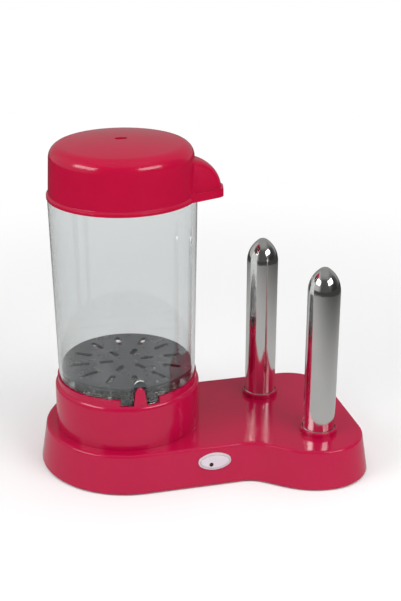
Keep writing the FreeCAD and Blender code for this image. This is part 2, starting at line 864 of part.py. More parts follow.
def bottom_cover():
    plate = base_block("cover_plate", dim.wall + dim.fit_gap, dim.cover_z, dim.cover_top_z)
    removed = []
    for index, (x, y) in enumerate(cover_screw_points(), 1):
        removed.append(rod(f"cover_hole_{index}", dim.screw_radius + dim.slip_gap,
                           dim.cover_thickness + 2, x, y, dim.cover_z - 1))
        removed.append(rod(f"cover_sink_{index}", dim.screw_head_radius + dim.slip_gap,
                           dim.screw_head_height + 1, x, y, dim.cover_z - 1))
    for index, (x, y) in enumerate(foot_points(), 1):
        removed.append(rod(f"foot_seat_{index}", dim.foot_radius, dim.foot_seat + 1,
                           x, y, dim.cover_z - 1))
    for index in range(int(dim.vent_slot_count.number)):
        step = dim.vent_slot_pitch * (index - (dim.vent_slot_count - 1) / 2)
        slot = extruded(f"cooling_slot_{index + 1}", "XY_Plane",
                        oval_path(dim.vent_slot_length, dim.vent_slot_width),
                        dim.cover_thickness + 2, offset=dim.cover_z - 1)
        removed.append(place(slot, dim.vent_slot_x, dim.vent_slot_y + step))
    node("bottom_cover", cut("bottom_cover", plate, fused("cover_openings", removed)))


def cover_screws():
    screws = []
    for index, (x, y) in enumerate(cover_screw_points(), 1):
        head = rod(f"cover_screw_head_{index}", dim.screw_head_radius, dim.screw_head_height,
                   x, y, dim.cover_z)
        shank = rod(f"cover_screw_shank_{index}", dim.screw_radius, dim.screw_length,
                    x, y, dim.cover_z + dim.screw_head_height)
        screws.append(fused(f"cover_screw_{index}", [head, shank]))
    node("cover_screws", fused("cover_screws", screws))


def rubber_feet():
    feet = []
    for index, (x, y) in enumerate(foot_points(), 1):
        body = turned(f"foot_{index}", [
            (0.0, 0.0),
            (dim.foot_radius - dim.foot_edge, 0.0),
            (dim.foot_radius, dim.foot_drop),
            (dim.foot_radius, dim.cover_z + dim.foot_seat),
            (0.0, dim.cover_z + dim.foot_seat),
        ])
        feet.append(place(body, x, y))
    node("rubber_feet", fused("rubber_feet", feet))


# ---------------------------------------------------------------- boiler

def stud_points():
    """The boiler's studs, spread evenly and clear of the front notch."""
    count = int(dim.stud_count.number)
    return [round_from(0.0, 0.0, dim.stud_circle, 90 + 360 * index / count)
            for index in range(count)]


def bowl_heights():
    """Underside and top face of the boiler's flange, and the bowl's underside."""
    under = dim.ledge_z + dim.seal_thickness
    return under, under + dim.bowl_wall, under - dim.bowl_depth


def boiler_bowl():
    under, top, low = bowl_heights()
    inner = dim.bowl_radius - dim.bowl_wall
    inner_round = dim.bowl_round - dim.bowl_wall
    bowl = turned("bowl_dish", [
        (0.0, low),
        (dim.bowl_radius - dim.bowl_round, low),
        (dim.bowl_radius, low + dim.bowl_round, dim.bowl_round),
        (dim.bowl_radius, under),
        (dim.bowl_flange_radius, under),
        (dim.bowl_flange_radius, top),
        (inner, top),
        (inner, low + dim.bowl_round),
        (inner - inner_round, low + dim.bowl_wall, -inner_round),
        (0.0, low + dim.bowl_wall),
    ])
    reach = dim.seal_thickness + dim.wall + dim.nut_height + dim.stud_end
    studs = [rod(f"bowl_stud_{index}", dim.stud_radius, reach, x, y, under - reach)
             for index, (x, y) in enumerate(stud_points(), 1)]
    node("boiler_bowl", fused("boiler_bowl", [bowl] + studs))


def boiler_seal():
    ring = turned("seal_ring", [
        (dim.well_radius, dim.ledge_z),
        (dim.bowl_flange_radius, dim.ledge_z),
        (dim.bowl_flange_radius, dim.ledge_z + dim.seal_thickness),
        (dim.well_radius, dim.ledge_z + dim.seal_thickness),
    ])
    holes = [rod(f"seal_hole_{index}", dim.stud_radius + dim.slip_gap, dim.seal_thickness + 2,
                 x, y, dim.ledge_z - 1) for index, (x, y) in enumerate(stud_points(), 1)]
    node("boiler_seal", cut("boiler_seal", ring, fused("seal_holes", holes)))


def hexagon(name, flats, height, bore, x, y, z):
    """A hexagon nut, one corner towards +X."""
    prism = doc.addObject("Part::Prism", name + "_hexagon")
    prism.Polygon = 6
    bind(prism, "Circumradius", flats / 2 / cosine(30))
    bind(prism, "Height", height)
    place(prism, x, y, z)
    hole = rod(name + "_bore", bore, height + 2, x, y, as_size(z) - 1)
    return cut(name, prism, hole)


def boiler_nuts():
    nuts = [hexagon(f"boiler_nut_{index}", dim.nut_flats, dim.nut_height, dim.stud_radius,
                    x, y, dim.under_ledge_z - dim.nut_height)
            for index, (x, y) in enumerate(stud_points(), 1)]
    node("boiler_nuts", fused("boiler_nuts", nuts))


def strap_studs():
    return [(-dim.strap_stud_x, 0.0), (dim.strap_stud_x, 0.0)]


def heat_plate_under_z():
    return bowl_heights()[2] - dim.heat_plate_thickness


def heat_plate():
    """Aluminium spreader under the bowl, with the two studs of the strap."""
    under = heat_plate_under_z()
    disc = rod("heat_disc", dim.heat_plate_radius, dim.heat_plate_thickness, z=under)
    length = dim.thermostat_cap + dim.strap_thickness + dim.strap_nut_height + dim.stud_end
    studs = [rod(f"strap_stud_{index}", dim.screw_radius, length, x, y, under - length)
             for index, (x, y) in enumerate(strap_studs(), 1)]
    node("heat_plate", fused("heat_plate", [disc] + studs))


def element_ends():
    """The two ends of the ring, on either side of its open front."""
    half_gap = (360 - dim.element_sweep) / 2
    return [round_from(0.0, 0.0, dim.element_ring_radius, -90 + half_gap * side)
            for side in (-1, 1)]


def heating_element():
    """Tubular ring left open at the front, its cold ends turned down."""
    z = heat_plate_under_z() - dim.element_radius
    ring = doc.addObject("Part::Torus", "element_ring")
    bind(ring, "Radius1", dim.element_ring_radius)
    bind(ring, "Radius2", dim.element_radius)
    bind(ring, "Angle3", dim.element_sweep)
    half_gap = (360 - dim.element_sweep.number) / 2
    place(ring, z=z, turn=Rotation(AXIS_Z, half_gap - 90))
    pieces = [ring]
    for side, (x, y) in zip(("left", "right"), element_ends()):
        elbow = doc.addObject("Part::Sphere", f"element_elbow_{side}")
        bind(elbow, "Radius", dim.element_radius)
        pieces.append(place(elbow, x, y, z))
        pieces.append(rod(f"element_pin_{side}", dim.element_radius, dim.element_pin_length,
                          x, y, z - dim.element_pin_length))
    node("heating_element", fused("heating_element", pieces))


def thermostat():
    top = heat_plate_under_z()
    cap = rod("thermostat_cap", dim.thermostat_radius, dim.thermostat_cap,
              z=top - dim.thermostat_cap)
    can_height = dim.thermostat_height - dim.thermostat_cap
    can = rod("thermostat_can", dim.thermostat_radius - dim.thermostat_step, can_height,
              z=top - dim.thermostat_height)
    blades = [block(f"thermostat_blade_{side + 2}", dim.blade_thickness, dim.blade_width,
                    dim.blade_length, dim.thermostat_blade_x * side, 0.0,
                    top - dim.thermostat_height - dim.blade_length) for side in (-1, 1)]
    node("thermostat", fused("thermostat", [cap, can] + blades))


def thermostat_strap():
    z = heat_plate_under_z() - dim.thermostat_cap - dim.strap_thickness
    bar = extruded("strap_bar", "XY_Plane",
                   oval_path(dim.strap_stud_x * 2 + dim.strap_width, dim.strap_width),
                   dim.strap_thickness, offset=z)
    waist = rod("strap_waist", dim.thermostat_radius, dim.strap_thickness, z=z)
    holes = [rod("strap_bore", dim.thermostat_radius - dim.thermostat_step + dim.slip_gap,
                 dim.strap_thickness + 2, z=z - 1)]
    holes += [rod(f"strap_hole_{index}", dim.screw_radius + dim.slip_gap, dim.strap_thickness + 2,
                  x, y, z - 1) for index, (x, y) in enumerate(strap_studs(), 1)]
    node("thermostat_strap", cut("thermostat_strap", fused("strap_blank", [bar, waist]),
                                 fused("strap_holes", holes)))


def strap_nuts():
    z = heat_plate_under_z() - dim.thermostat_cap - dim.strap_thickness - dim.strap_nut_height
    nuts = [hexagon(f"strap_nut_{index}", dim.strap_nut_flats, dim.strap_nut_height,
                    dim.screw_radius, x, y, z)
            for index, (x, y) in enumerate(strap_studs(), 1)]
    node("strap_nuts", fused("strap_nuts", nuts))


def thermal_fuse():
    """Sleeved fuse lying against the spreader, beside the thermostat."""
    z = heat_plate_under_z() - dim.fuse_radius
    y = dim.thermostat_radius + dim.fuse_gap + dim.fuse_radius
    along_x = Rotation(Vector(0, 1, 0), 90)
    sleeve = rod("fuse_sleeve", dim.fuse_radius, dim.fuse_length,
                 -dim.fuse_length / 2, y, z, along_x)
    wire_length = dim.fuse_length + dim.fuse_wire_end * 2
    wires = rod("fuse_wires", dim.fuse_wire_radius, wire_length, -wire_length / 2, y, z, along_x)
    node("thermal_fuse", fused("thermal_fuse", [sleeve, wires]))


# ---------------------------------------------------------------- bun spikes

def bun_spike(which, x, y):
    """Drawn tube with a bullet nose, swaged out in its collar, flanged under the deck."""
    flange_low = dim.flange_low_z
    top = dim.deck_z + dim.spike_rise
    nose_run = dim.spike_nose_radius - dim.spike_radius + dim.spike_nose_flat
    nose = root(dim.spike_nose_radius * dim.spike_nose_radius - nose_run * nose_run)
    inner = dim.spike_radius - dim.spike_wall
    body = turned(f"spike_{which}", [
        (inner, flange_low),
        (dim.flange_radius, flange_low),
        (dim.flange_radius, dim.under_deck_z),
        (dim.spike_foot_radius, dim.under_deck_z),
        (dim.spike_foot_radius, dim.collar_top_z - dim.spike_swage),
        (dim.spike_radius, dim.collar_top_z),
        (dim.spike_radius, top - nose),
        (dim.spike_nose_flat, top, dim.spike_nose_radius),
        (0.0, top),
        (0.0, top - dim.spike_wall),
        (dim.spike_nose_flat, top - dim.spike_wall),
        (inner, top - nose, -(dim.spike_nose_radius - dim.spike_wall)),
    ])
    node(f"spike_{which}", place(body, x, y))


def spike_insulator(which, x, y):
    inner = dim.heater_radius + dim.slip_gap
    outer = dim.flange_radius - dim.insulator_setback
    body = turned(f"spike_insulator_{which}", [
        (inner, dim.plate_top_z),
        (outer, dim.plate_top_z),
        (outer, dim.flange_low_z),
        (inner, dim.flange_low_z),
    ])
    node(f"spike_insulator_{which}", place(body, x, y))


def spike_heater(which, x, y):
    """Ceramic former wound with resistance wire, standing on the plate."""
    low = dim.plate_top_z
    nose_low = dim.deck_z + dim.spike_rise - dim.spike_nose_radius + dim.spike_nose_flat
    top = nose_low - dim.heater_top_gap
    groove = dim.heater_radius - dim.heater_groove
    body = turned(f"spike_heater_{which}", [
        (dim.heater_bore, low),
        (dim.heater_radius, low),
        (dim.heater_radius, low + dim.heater_cuff),
        (groove, low + dim.heater_cuff),
        (groove, top - dim.heater_cap),
        (dim.heater_radius, top - dim.heater_cap),
        (dim.heater_radius, top),
        (dim.heater_bore, top),
    ])
    node(f"spike_heater_{which}", place(body, x, y))


def spike_plates():
    plates = []
    through = dim.plate_thickness + 2
    bar_outline = oval_path((dim.plate_screw_x + dim.plate_end_radius) * 2,
                            dim.plate_end_radius * 2)
    for which, x, y in spikes():
        bar = extruded(f"plate_bar_{which}", "XY_Plane", bar_outline, dim.plate_thickness,
                       offset=dim.plate_z)
        disc = rod(f"plate_disc_{which}", dim.heater_radius + dim.plate_margin,
                   dim.plate_thickness, x, y, dim.plate_z)
        holes = [rod(f"plate_bore_{which}", dim.plate_bore, through, x, y, dim.plate_z - 1)]
        for index, (end_x, end_y) in enumerate(plate_ends(x, y), 1):
            holes.append(rod(f"plate_hole_{which}_{index}", dim.screw_radius + dim.slip_gap,
                             through, end_x, end_y, dim.plate_z - 1))
        blank = fused(f"plate_blank_{which}", [place(bar, x, y), disc])
        plates.append(cut(f"plate_{which}", blank, fused(f"plate_holes_{which}", holes)))
    node("spike_plates", fused("spike_plates", plates))


def spike_screws():
    screws = []
    for which, x, y in spikes():
        for index, (end_x, end_y) in enumerate(plate_ends(x, y), 1):
            name = f"spike_screw_{which}_{index}"
            head = rod(name + "_head", dim.screw_head_radius, dim.screw_head_height,
                       end_x, end_y, dim.plate_z - dim.screw_head_height)
            shank = rod(name + "_shank", dim.screw_radius, dim.plate_thickness + dim.plate_screw_bite,
                        end_x, end_y, dim.plate_z)
            screws.append(fused(name, [head, shank]))
    node("spike_screws", fused("spike_screws", screws))


# ---------------------------------------------------------------- power button

def button_bezel(front):
    rim = extruded("bezel_rim", "XY_Plane", button_path(as_size(0.0)), dim.bezel_proud)
    rounded(rim, "bezel_round", dim.bezel_proud * 0.6, level(dim.bezel_proud, dim.bezel_proud))
    fixed(rim, front)
    barrel = button_slab("bezel_barrel", dim.barrel_inset, -dim.bezel_depth,
                         dim.bezel_proud / 2, front)
    bore = button_slab("bezel_bore", dim.bezel_rim, -dim.bezel_depth - 1,
                       dim.bezel_proud + 1, front)
    node("button_bezel", cut("button_bezel", fused("bezel_blank", [rim, barrel]), bore))


def local(front, x, y, z):
    """A point of the wall frame as a placement."""
    return front * Placement(Vector(number(x), number(y), number(z)), Rotation())


def button_cap(front):
    cap = extruded("cap_block", "XY_Plane", button_path(dim.bezel_rim + dim.cap_gap),
                   dim.cap_depth + dim.cap_proud, offset=-dim.cap_depth)
    rounded(cap, "cap_round", dim.cap_round, level(dim.cap_proud, dim.cap_proud))
    fixed(cap, front)
    stem = fixed(rod("cap_stem", dim.stem_radius, dim.stem_length + 0.5),
                 local(front, dim.stem_x, 0, -dim.cap_depth - dim.stem_length))
    lamp_hole = fixed(rod("cap_lamp_hole", dim.lamp_radius, dim.cap_depth + dim.cap_proud + 2),
                      local(front, dim.lamp_x, dim.lamp_y, -dim.cap_depth - 1))
    node("button_cap", cut("button_cap", fused("cap_blank", [cap, stem]), lamp_hole))


def lamp_lens(front):
    low = dim.cap_proud - dim.lens_sink - dim.lens_thickness
    lens = rod("lamp_lens_rod", dim.lamp_radius, dim.lens_thickness)
    node("lamp_lens", fixed(lens, local(front, dim.lamp_x, dim.lamp_y, low)))


def pilot_lamp(front):
    """Neon bulb on the switch, standing in the cap's light well."""
    bulb = rod("pilot_lamp_bulb", dim.lamp_radius - dim.bulb_gap, dim.bulb_length)
    node("pilot_lamp", fixed(bulb, local(front, dim.lamp_x, dim.lamp_y, -dim.bezel_depth)))


def switch_body(front):
    """Latching switch snapped on the rear of the barrel."""
    rear = -dim.bezel_depth - dim.switch_depth
    case = button_slab("switch_case", dim.barrel_inset + dim.switch_margin,
                       rear, -dim.bezel_depth, front)
    bore = fixed(rod("switch_bore", dim.stem_radius + dim.cap_gap,
                     dim.switch_depth - dim.switch_wall + 1),
                 local(front, dim.stem_x, 0, rear + dim.switch_wall))
    blades = []
    for side in (-1, 0, 1):
        blade = doc.addObject("Part::Box", f"switch_blade_{side + 2}")
        bind(blade, "Length", dim.blade_thickness)
        bind(blade, "Width", dim.blade_width)
        bind(blade, "Height", dim.blade_length + 0.5)
        blade_x = dim.switch_blade_pitch * side - dim.blade_thickness / 2
        blades.append(fixed(blade, local(front, blade_x, -dim.blade_width / 2,
                                         rear - dim.blade_length)))
    node("switch_body", cut("switch_body", fused("switch_blank", [case] + blades), bore))


def button_spring(front):
    """Coil spring between the bottom of the switch bore and the stem."""
    low = -dim.bezel_depth - dim.switch_depth + dim.switch_wall + dim.spring_wire
    high = -dim.cap_depth - dim.stem_length - dim.spring_wire
    height = (high - low).number
    radius = (dim.stem_radius - dim.spring_wire).number
    helix = Part.makeHelix(height / dim.spring_turns.number, height, radius)
    start = Vector(radius, 0, 0)
    section = Part.Wire(Part.makeCircle(dim.spring_wire.number, start, Vector(0, 1, 0)))
    spring = doc.addObject("Part::Feature", "button_spring")
    spring.Shape = Part.Wire(helix).makePipeShell([section], True, True)
    node("button_spring", fixed(spring, local(front, dim.stem_x, 0, low)))


# ---------------------------------------------------------------- cord entry and wiring

def cord_gland():
    """Bushing clipped through the rear wall; the flex is fitted by the user's country."""
    inner = -dim.wall
    edge = dim.gland_edge
    face = dim.gland_flange_thickness
    body = turned("gland_bush", [
        (dim.gland_bore, inner - dim.gland_tail),
        (dim.gland_neck, inner - dim.gland_tail),
        (dim.gland_neck + dim.gland_barb, inner),
        (dim.gland_neck, inner),
        (dim.gland_neck, 0.0),
        (dim.gland_flange, 0.0),
        (dim.gland_flange - edge, face),
        (dim.gland_bore + edge, face),
        (dim.gland_bore, face - edge),
    ])
    node("cord_gland", fixed(body, wall_frame(dim.gland_x, dim.gland_rise, 1)))


def clamp_posts():
    return [(dim.gland_x - dim.clamp_pitch / 2, dim.clamp_y),
            (dim.gland_x + dim.clamp_pitch / 2, dim.clamp_y)]


def cable_clamp():
    """Saddle on the cover behind the gland."""
    z = dim.cover_top_z
    posts = [rod(f"clamp_post_{index}", dim.clamp_post_radius, dim.clamp_post_height, x, y, z)
             for index, (x, y) in enumerate(clamp_posts(), 1)]
    width = dim.clamp_post_radius * 2
    bar = extruded("clamp_bar", "XY_Plane", oval_path(dim.clamp_pitch + width, width),
                   dim.clamp_bar_thickness, offset=z + dim.clamp_post_height)
    place(bar, dim.gland_x, dim.clamp_y)
    node("cable_clamp", fused("cable_clamp", posts + [bar]))


def clamp_screws():
    z = dim.cover_top_z + dim.clamp_post_height + dim.clamp_bar_thickness
    node("clamp_screws", fused("clamp_screws", [
        rod(f"clamp_screw_{index}", dim.screw_head_radius, dim.screw_head_height, x, y, z)
        for index, (x, y) in enumerate(clamp_posts(), 1)]))


def terminal_block():
    """Three-way connector: a moulded rail with screw towers."""
    z = dim.cover_top_z
    top = z + dim.block_height
    pieces = [block("block_rail", dim.block_length, dim.block_width, dim.block_rail_height,
                    dim.block_x, dim.block_y, z)]
    wells = []
    for side in (-1, 0, 1):
        tower_x = dim.block_x + dim.block_length / 3 * side
        pieces.append(rod(f"block_tower_{side + 2}", dim.block_tower_radius,
                          dim.block_height - dim.block_rail_height / 2,
                          tower_x, dim.block_y, z + dim.block_rail_height / 2))
        wells.append(rod(f"block_well_{side + 2}", dim.block_well_radius,
                         dim.block_well_depth + 1, tower_x, dim.block_y,
                         top - dim.block_well_depth))
    node("terminal_block", cut("terminal_block", fused("block_blank", pieces),
                               fused("block_wells", wells)))


def lead(name, points, radius):
    """An insulated lead: straight runs joined by round bends."""
    corners = [Vector(*(number(value) for value in point)) for point in points]
    edges = []
    start = corners[0]
    for before, corner, after in zip(corners, corners[1:], corners[2:]):
        into = (corner - before).normalize()
        out = (after - corner).normalize()
        half_turn = into.getAngle(out) / 2
        shorter = min((corner - before).Length, (after - corner).Length)
        trim = 0.42 * shorter
        bend_start = corner - into * trim
        bend_end = corner + out * trim
        inward = (out - into).normalize()
        bend_radius = trim / math.tan(half_turn)
        centre = corner + inward * (bend_radius / math.cos(half_turn))
        middle = centre - inward * bend_radius
        edges.append(Part.LineSegment(start, bend_start).toShape())
        edges.append(Part.Arc(bend_start, middle, bend_end).toShape())
        start = bend_end
    edges.append(Part.LineSegment(start, corners[-1]).toShape())
    spine = Part.Wire(edges)
    along = (corners[1] - corners[0]).normalize()
    section = Part.Wire(Part.makeCircle(number(radius), corners[0], along))
    thing = doc.addObject("Part::Feature", name)
    thing.Shape = spine.makePipeShell([section], True, False)
    return thing


def boiler_leads():
    """From the terminal block to the heating element's two cold ends."""
    pin_z = heat_plate_under_z() - dim.element_radius - dim.element_pin_length
    run_z = dim.cover_top_z + dim.block_rail_height / 2
    face_x = dim.block_x - dim.block_length / 2
    (far_x, far_y), (near_x, near_y) = element_ends()
    front_y = dim.block_y - dim.wire_spacing
    rear_y = dim.block_y + dim.wire_spacing
    far = lead("boiler_lead_far", [
        (face_x, front_y, run_z),
        (face_x - 14, front_y, run_z),
        (far_x + 24, far_y - 7, run_z),
        (far_x, far_y, run_z + 1),
        (far_x, far_y, pin_z),
    ], dim.wire_radius)
    near = lead("boiler_lead_near", [
        (face_x, rear_y, run_z),
        (face_x - 14, rear_y, run_z),
        (near_x + 14, near_y + 2, run_z),
        (near_x, near_y, run_z + 1),
        (near_x, near_y, pin_z),
    ], dim.wire_radius)
    node("boiler_leads", fused("boiler_leads", [far, near]))


def spike_leads():
    """From the terminal block up into the two spike heaters."""
    run_z = dim.cover_top_z + dim.block_rail_height / 2
    face_x = dim.block_x + dim.block_length / 2
    leads = []
    for (which, x, y), side in zip(spikes(), (-1, 1)):
        start_y = dim.block_y + dim.wire_spacing * side
        leads.append(lead(f"spike_lead_{which}", [
            (face_x, start_y, run_z),
            (face_x + 8, start_y, run_z),
            (x, y, run_z + 1),
            (x, y, dim.plate_top_z),
        ], dim.wire_radius))
    node("spike_leads", fused("spike_leads", leads))


# ---------------------------------------------------------------- clear tube

def tube_outer_radius(z):
    share = (z - dim.tube_seat_z) / (dim.tube_top_z - dim.tube_seat_z)
    return dim.tube_foot_radius + (dim.tube_top_radius - dim.tube_foot_radius) * share


def clear_cylinder():
    """Drafted clear tube with a spigot, two feet and a framed key notch."""
    bore = dim.spigot_bore
    neck_z = dim.rim_z - dim.fit_gap
    tube = turned("tube_wall_ring", [
        (bore, dim.ledge_z),
        (dim.spigot_radius, dim.ledge_z),
        (dim.spigot_radius, dim.tube_seat_z),
        (dim.tube_foot_radius, dim.tube_seat_z),
        (tube_outer_radius(neck_z), neck_z),
        (dim.tube_neck_radius, neck_z),
        (dim.tube_neck_radius, dim.tube_top_z),
        (dim.tube_top_radius - dim.tube_wall, dim.tube_top_z),
        (tube_outer_radius(dim.floor_low_z) - dim.tube_wall, dim.floor_low_z),
        (bore, dim.floor_low_z),
    ])
    rounded(tube, "tube_rim_round", dim.tube_wall * 0.3, level(dim.tube_top_z, dim.tube_top_z))
    feet = turned("tube_feet", [
        (dim.spigot_radius - 0.5, dim.tube_foot_z),
        (dim.tube_foot_radius, dim.tube_foot_z),
        (dim.tube_foot_radius, dim.tube_seat_z + 0.5),
        (dim.spigot_radius - 0.5, dim.tube_seat_z + 0.5),
    ], sweep=dim.window_angle - dim.tube_foot_side_gap * 2)
    place(feet, turn=Rotation(AXIS_Z, -90))
    width = dim.tab_width + dim.notch_side_gap * 2
    top_width = dim.tab_top_width + dim.notch_top_gap * 2
    grow = dim.notch_frame * 2
    frame_path = arch_path(width + grow, top_width + grow, dim.tube_foot_z,
                           dim.notch_top_z + dim.notch_frame)
    frame = extruded("notch_frame", "XZ_Plane", frame_path,
                     dim.notch_frame_proud + dim.tube_wall,
                     offset=dim.tube_foot_radius - dim.tube_wall)
    blank = fused("tube_blank", [tube, feet, frame])
    notch_path = arch_path(width, top_width, dim.ledge_z - 1, dim.notch_top_z)
    notch = extruded("key_notch", "XZ_Plane", notch_path, dim.tube_foot_radius / 2,
                     offset=dim.tube_foot_radius / 2 + dim.notch_frame_proud + 1)
    node("clear_cylinder", cut("clear_cylinder", blank, notch))


def slot_ring(name, count, centre, length, width):
    """Radial steam slots, spread evenly about the axis by a polar pattern."""
    body = new_body(name)
    half = width / 2
    low = centre - (length - width) / 2
    high = centre + (length - width) / 2
    sketch = new_sketch(body, name + "_profile", "XY_Plane", dim.floor_low_z - 1)
    draw(sketch, [
        (high, -half),
        (high + half, 0.0, half),
        (high, half, half),
        (low, half),
        (low - half, 0.0, half),
        (low, -half, half),
    ])
    pad = body.newObject("PartDesign::Pad", name + "_pad")
    pad.Profile = sketch
    bind(pad, "Length", dim.floor_thickness + 2)
    doc.recompute()
    pattern = body.newObject("PartDesign::PolarPattern", name + "_pattern")
    pattern.Originals = [pad]
    pattern.Axis = (sketch, ["N_Axis"])
    pattern.Angle = 360
    bind(pattern, "Occurrences", count)
    body.Tip = pattern
    return body


def steam_floor():
    """Slotted disc that stands on the step inside the tube."""
    radius = tube_outer_radius(dim.floor_low_z) - dim.tube_wall - dim.slip_gap
    disc = rod("floor_disc", radius, dim.floor_thickness, z=dim.floor_low_z)
    centre = radius - dim.slot_margin - dim.slot_length / 2
    inner_centre = centre - (dim.slot_length + dim.inner_slot_length) / 2 - dim.slot_ring_gap
    outer = slot_ring("outer_slots", dim.slot_count, centre, dim.slot_length, dim.slot_width)
    inner = slot_ring("inner_slots", dim.inner_slot_count, inner_centre,
                      dim.inner_slot_length, dim.slot_width)
    node("steam_floor", cut("steam_floor", disc, fused("floor_slots", [outer, inner])))


# ---------------------------------------------------------------- lid

def grip_body(name, inset, low, root_x):
    """The lid's grip: a ridge rolled down to a blunt nose, its sides leaning together.

    An inset gives the hollow inside it at that wall thickness.
    """
    reach = dim.grip_reach - inset
    bend = dim.grip_nose_radius - inset
    nose_z = dim.rim_z + dim.grip_nose_height
    past_centre = reach - bend - root_x
    path = [
        (root_x, low),
        (reach, low),
        (reach, nose_z),
        (root_x, nose_z + root(bend * bend - past_centre * past_centre), bend),
    ]
    widest = dim.grip_root_half * 2 + 20
    body = extruded(name, "XZ_Plane", path, widest, both_ways=True)
    run = dim.grip_reach - dim.lid_shoulder_radius
    drawn_in = (dim.grip_root_half - dim.grip_tip_half) / run
    along_side = root(drawn_in * drawn_in + as_size(1.0))
    lean = dim.grip_side_angle
    sunk = (dim.rim_z - low + 1) * tangent(lean)
    root_half = (dim.grip_root_half + (dim.lid_shoulder_radius - root_x) * drawn_in
                 + (sunk - inset / cosine(lean)) * along_side)
    end_x = reach + 10
    end_half = root_half - (end_x - root_x) * drawn_in
    for side in (-1, 1):
        sketch = new_sketch(body, f"{name}_side_{side + 2}", "XY_Plane", low - 1)
        corners = [
            (root_x - 1, (root_half + drawn_in) * side),
            (end_x, end_half * side),
            (end_x, (dim.grip_root_half + 20) * side),
            (root_x - 1, (dim.grip_root_half + 20) * side),
        ]
        draw(sketch, corners if side > 0 else corners[::-1])
        pocket = body.newObject("PartDesign::Pocket", f"{name}_cut_{side + 2}")
        pocket.Profile = sketch
        pocket.Reversed = True
        bind(pocket, "Length", dim.lid_side_height)
        bind(pocket, "TaperAngle", lean)
        doc.recompute()
    limit_x = root_x.number + 0.5

    def on_outline(edge):
        """The seam between a drawn-in side and the top or nose."""
        box = edge.BoundBox
        beside = box.YMin * box.YMax > 0
        rises = box.ZMax > low.number + 0.1
        return beside and rises and box.XMin > limit_x - 0.6 and box.XMax > limit_x + 0.5

    rounded(body, f"{name}_round", dim.grip_round - inset * 0.8, on_outline)
    return place(body, turn=Rotation(AXIS_Z, dim.grip_turn.number))


def lid():
    rim = dim.rim_z
    side_top = rim + dim.lid_side_height
    dome_top = side_top + dim.dome_rise
    dome_radius = (dim.lid_shoulder_radius * dim.lid_shoulder_radius
                   + dim.dome_rise * dim.dome_rise) / (dim.dome_rise * 2)
    outside = turned("lid_outside", [
        (0.0, rim),
        (dim.lid_lip_radius, rim),
        (dim.lid_lip_radius, dim.lid_lip_z),
        (dim.lid_skirt_radius, dim.lid_lip_z + dim.lid_flare_rise),
        (dim.lid_shoulder_radius, side_top),
        (0.0, dome_top, dome_radius),
    ])
    rounded(outside, "lid_shoulder_round", dim.lid_round, level(side_top, side_top))
    seat = dim.tube_top_z
    inner_low = dim.lid_skirt_radius - dim.lid_wall
    inner_high = dim.lid_shoulder_radius - dim.lid_wall
    inner_top = side_top - dim.lid_wall
    inner_dome = (inner_high * inner_high + dim.dome_rise * dim.dome_rise) / (dim.dome_rise * 2)
    inside = turned("lid_inside", [
        (0.0, rim - 1),
        (dim.lid_bore, rim - 1),
        (dim.lid_bore, seat),
        (inner_low, seat),
        (inner_high, inner_top),
        (0.0, inner_top + dim.dome_rise, inner_dome),
    ])
    rounded(inside, "lid_inside_round", dim.lid_round - dim.lid_wall, level(inner_top, inner_top))
    grip = grip_body("grip_outside", as_size(0.0), rim, dim.grip_root)
    brim = grip_body("grip_brim", -dim.grip_lip, rim, dim.grip_root)
    brim_top = rod("brim_level", dim.grip_reach * 2, dim.lid_side_height,
                   z=rim + dim.grip_lip_height)
    brim = cut("grip_lip", brim, brim_top)
    hollow = grip_body("grip_inside", dim.lid_wall, rim - 1, dim.grip_root)
    shell = cut("grip_shell", fused("grip_solid", [grip, brim]), hollow)
    vent = extruded("lid_vent", "XY_Plane", oval_path(dim.vent_length, dim.vent_width),
                    dim.lid_side_height, offset=side_top - dim.lid_side_height / 2)
    blank = fused("lid_blank", [outside, shell])
    node("lid", cut("lid", blank, fused("lid_openings", [inside, vent])))


# ---------------------------------------------------------------- assembly

def build():
    upper_housing()
    boiler_tower()
    bottom_cover()
    cover_screws()
    rubber_feet()
    boiler_bowl()
    boiler_seal()
    boiler_nuts()
    heat_plate()
    heating_element()
    thermostat()
    thermostat_strap()
    strap_nuts()
    thermal_fuse()
    for which, x, y in spikes():
        bun_spike(which, x, y)
        spike_insulator(which, x, y)
        spike_heater(which, x, y)
    spike_plates()
    spike_screws()
    front = wall_frame(dim.button_x, dim.button_rise, -1)
    button_bezel(front)
    button_cap(front)
    lamp_lens(front)
    pilot_lamp(front)
    switch_body(front)
    button_spring(front)
    cord_gland()
    cable_clamp()
    clamp_screws()
    terminal_block()
    boiler_leads()
    spike_leads()
    clear_cylinder()
    steam_floor()
    lid()


def check():
    """Stop if any feature failed or any piece is not a sound solid."""
    for thing in doc.Objects:
        if "Invalid" in thing.State or "Error" in thing.State:
            raise RuntimeError(f"{thing.Label} failed: {thing.State}")
    for thing in NODES:
        shape = thing.Shape
        if shape.isNull() or not shape.isValid() or not shape.Solids:
            raise RuntimeError(f"{thing.Label} is not a valid solid")


def write():
    os.makedirs("parts", exist_ok=True)
    for thing in NODES:
        thing.Shape.exportStep(os.path.join("parts", thing.Label + ".step"))
        box = thing.Shape.BoundBox
        print(f"{thing.Label}: {len(thing.Shape.Solids)} solids, {thing.Shape.Volume:.1f} mm3, "
              f"x {box.XMin:.1f}..{box.XMax:.1f} y {box.YMin:.1f}..{box.YMax:.1f} "
              f"z {box.ZMin:.1f}..{box.ZMax:.1f}")


build()
doc.recompute()
check()
write()
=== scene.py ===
# %% [markdown]
# # A hot dog steamer in Blender
# The appliance has a red moulded base, a boiler tower with a clear tube and a
# lid on it, and two heated metal spikes for the buns. Its solids come from a
# CAD model. This lesson dresses them: every plastic and metal gets its own
# finish, and the small parts that repeat or coil are made again in detail.

# %% Load the solids
import json
import math

import bmesh
import bpy
from mathutils import Matrix, Vector


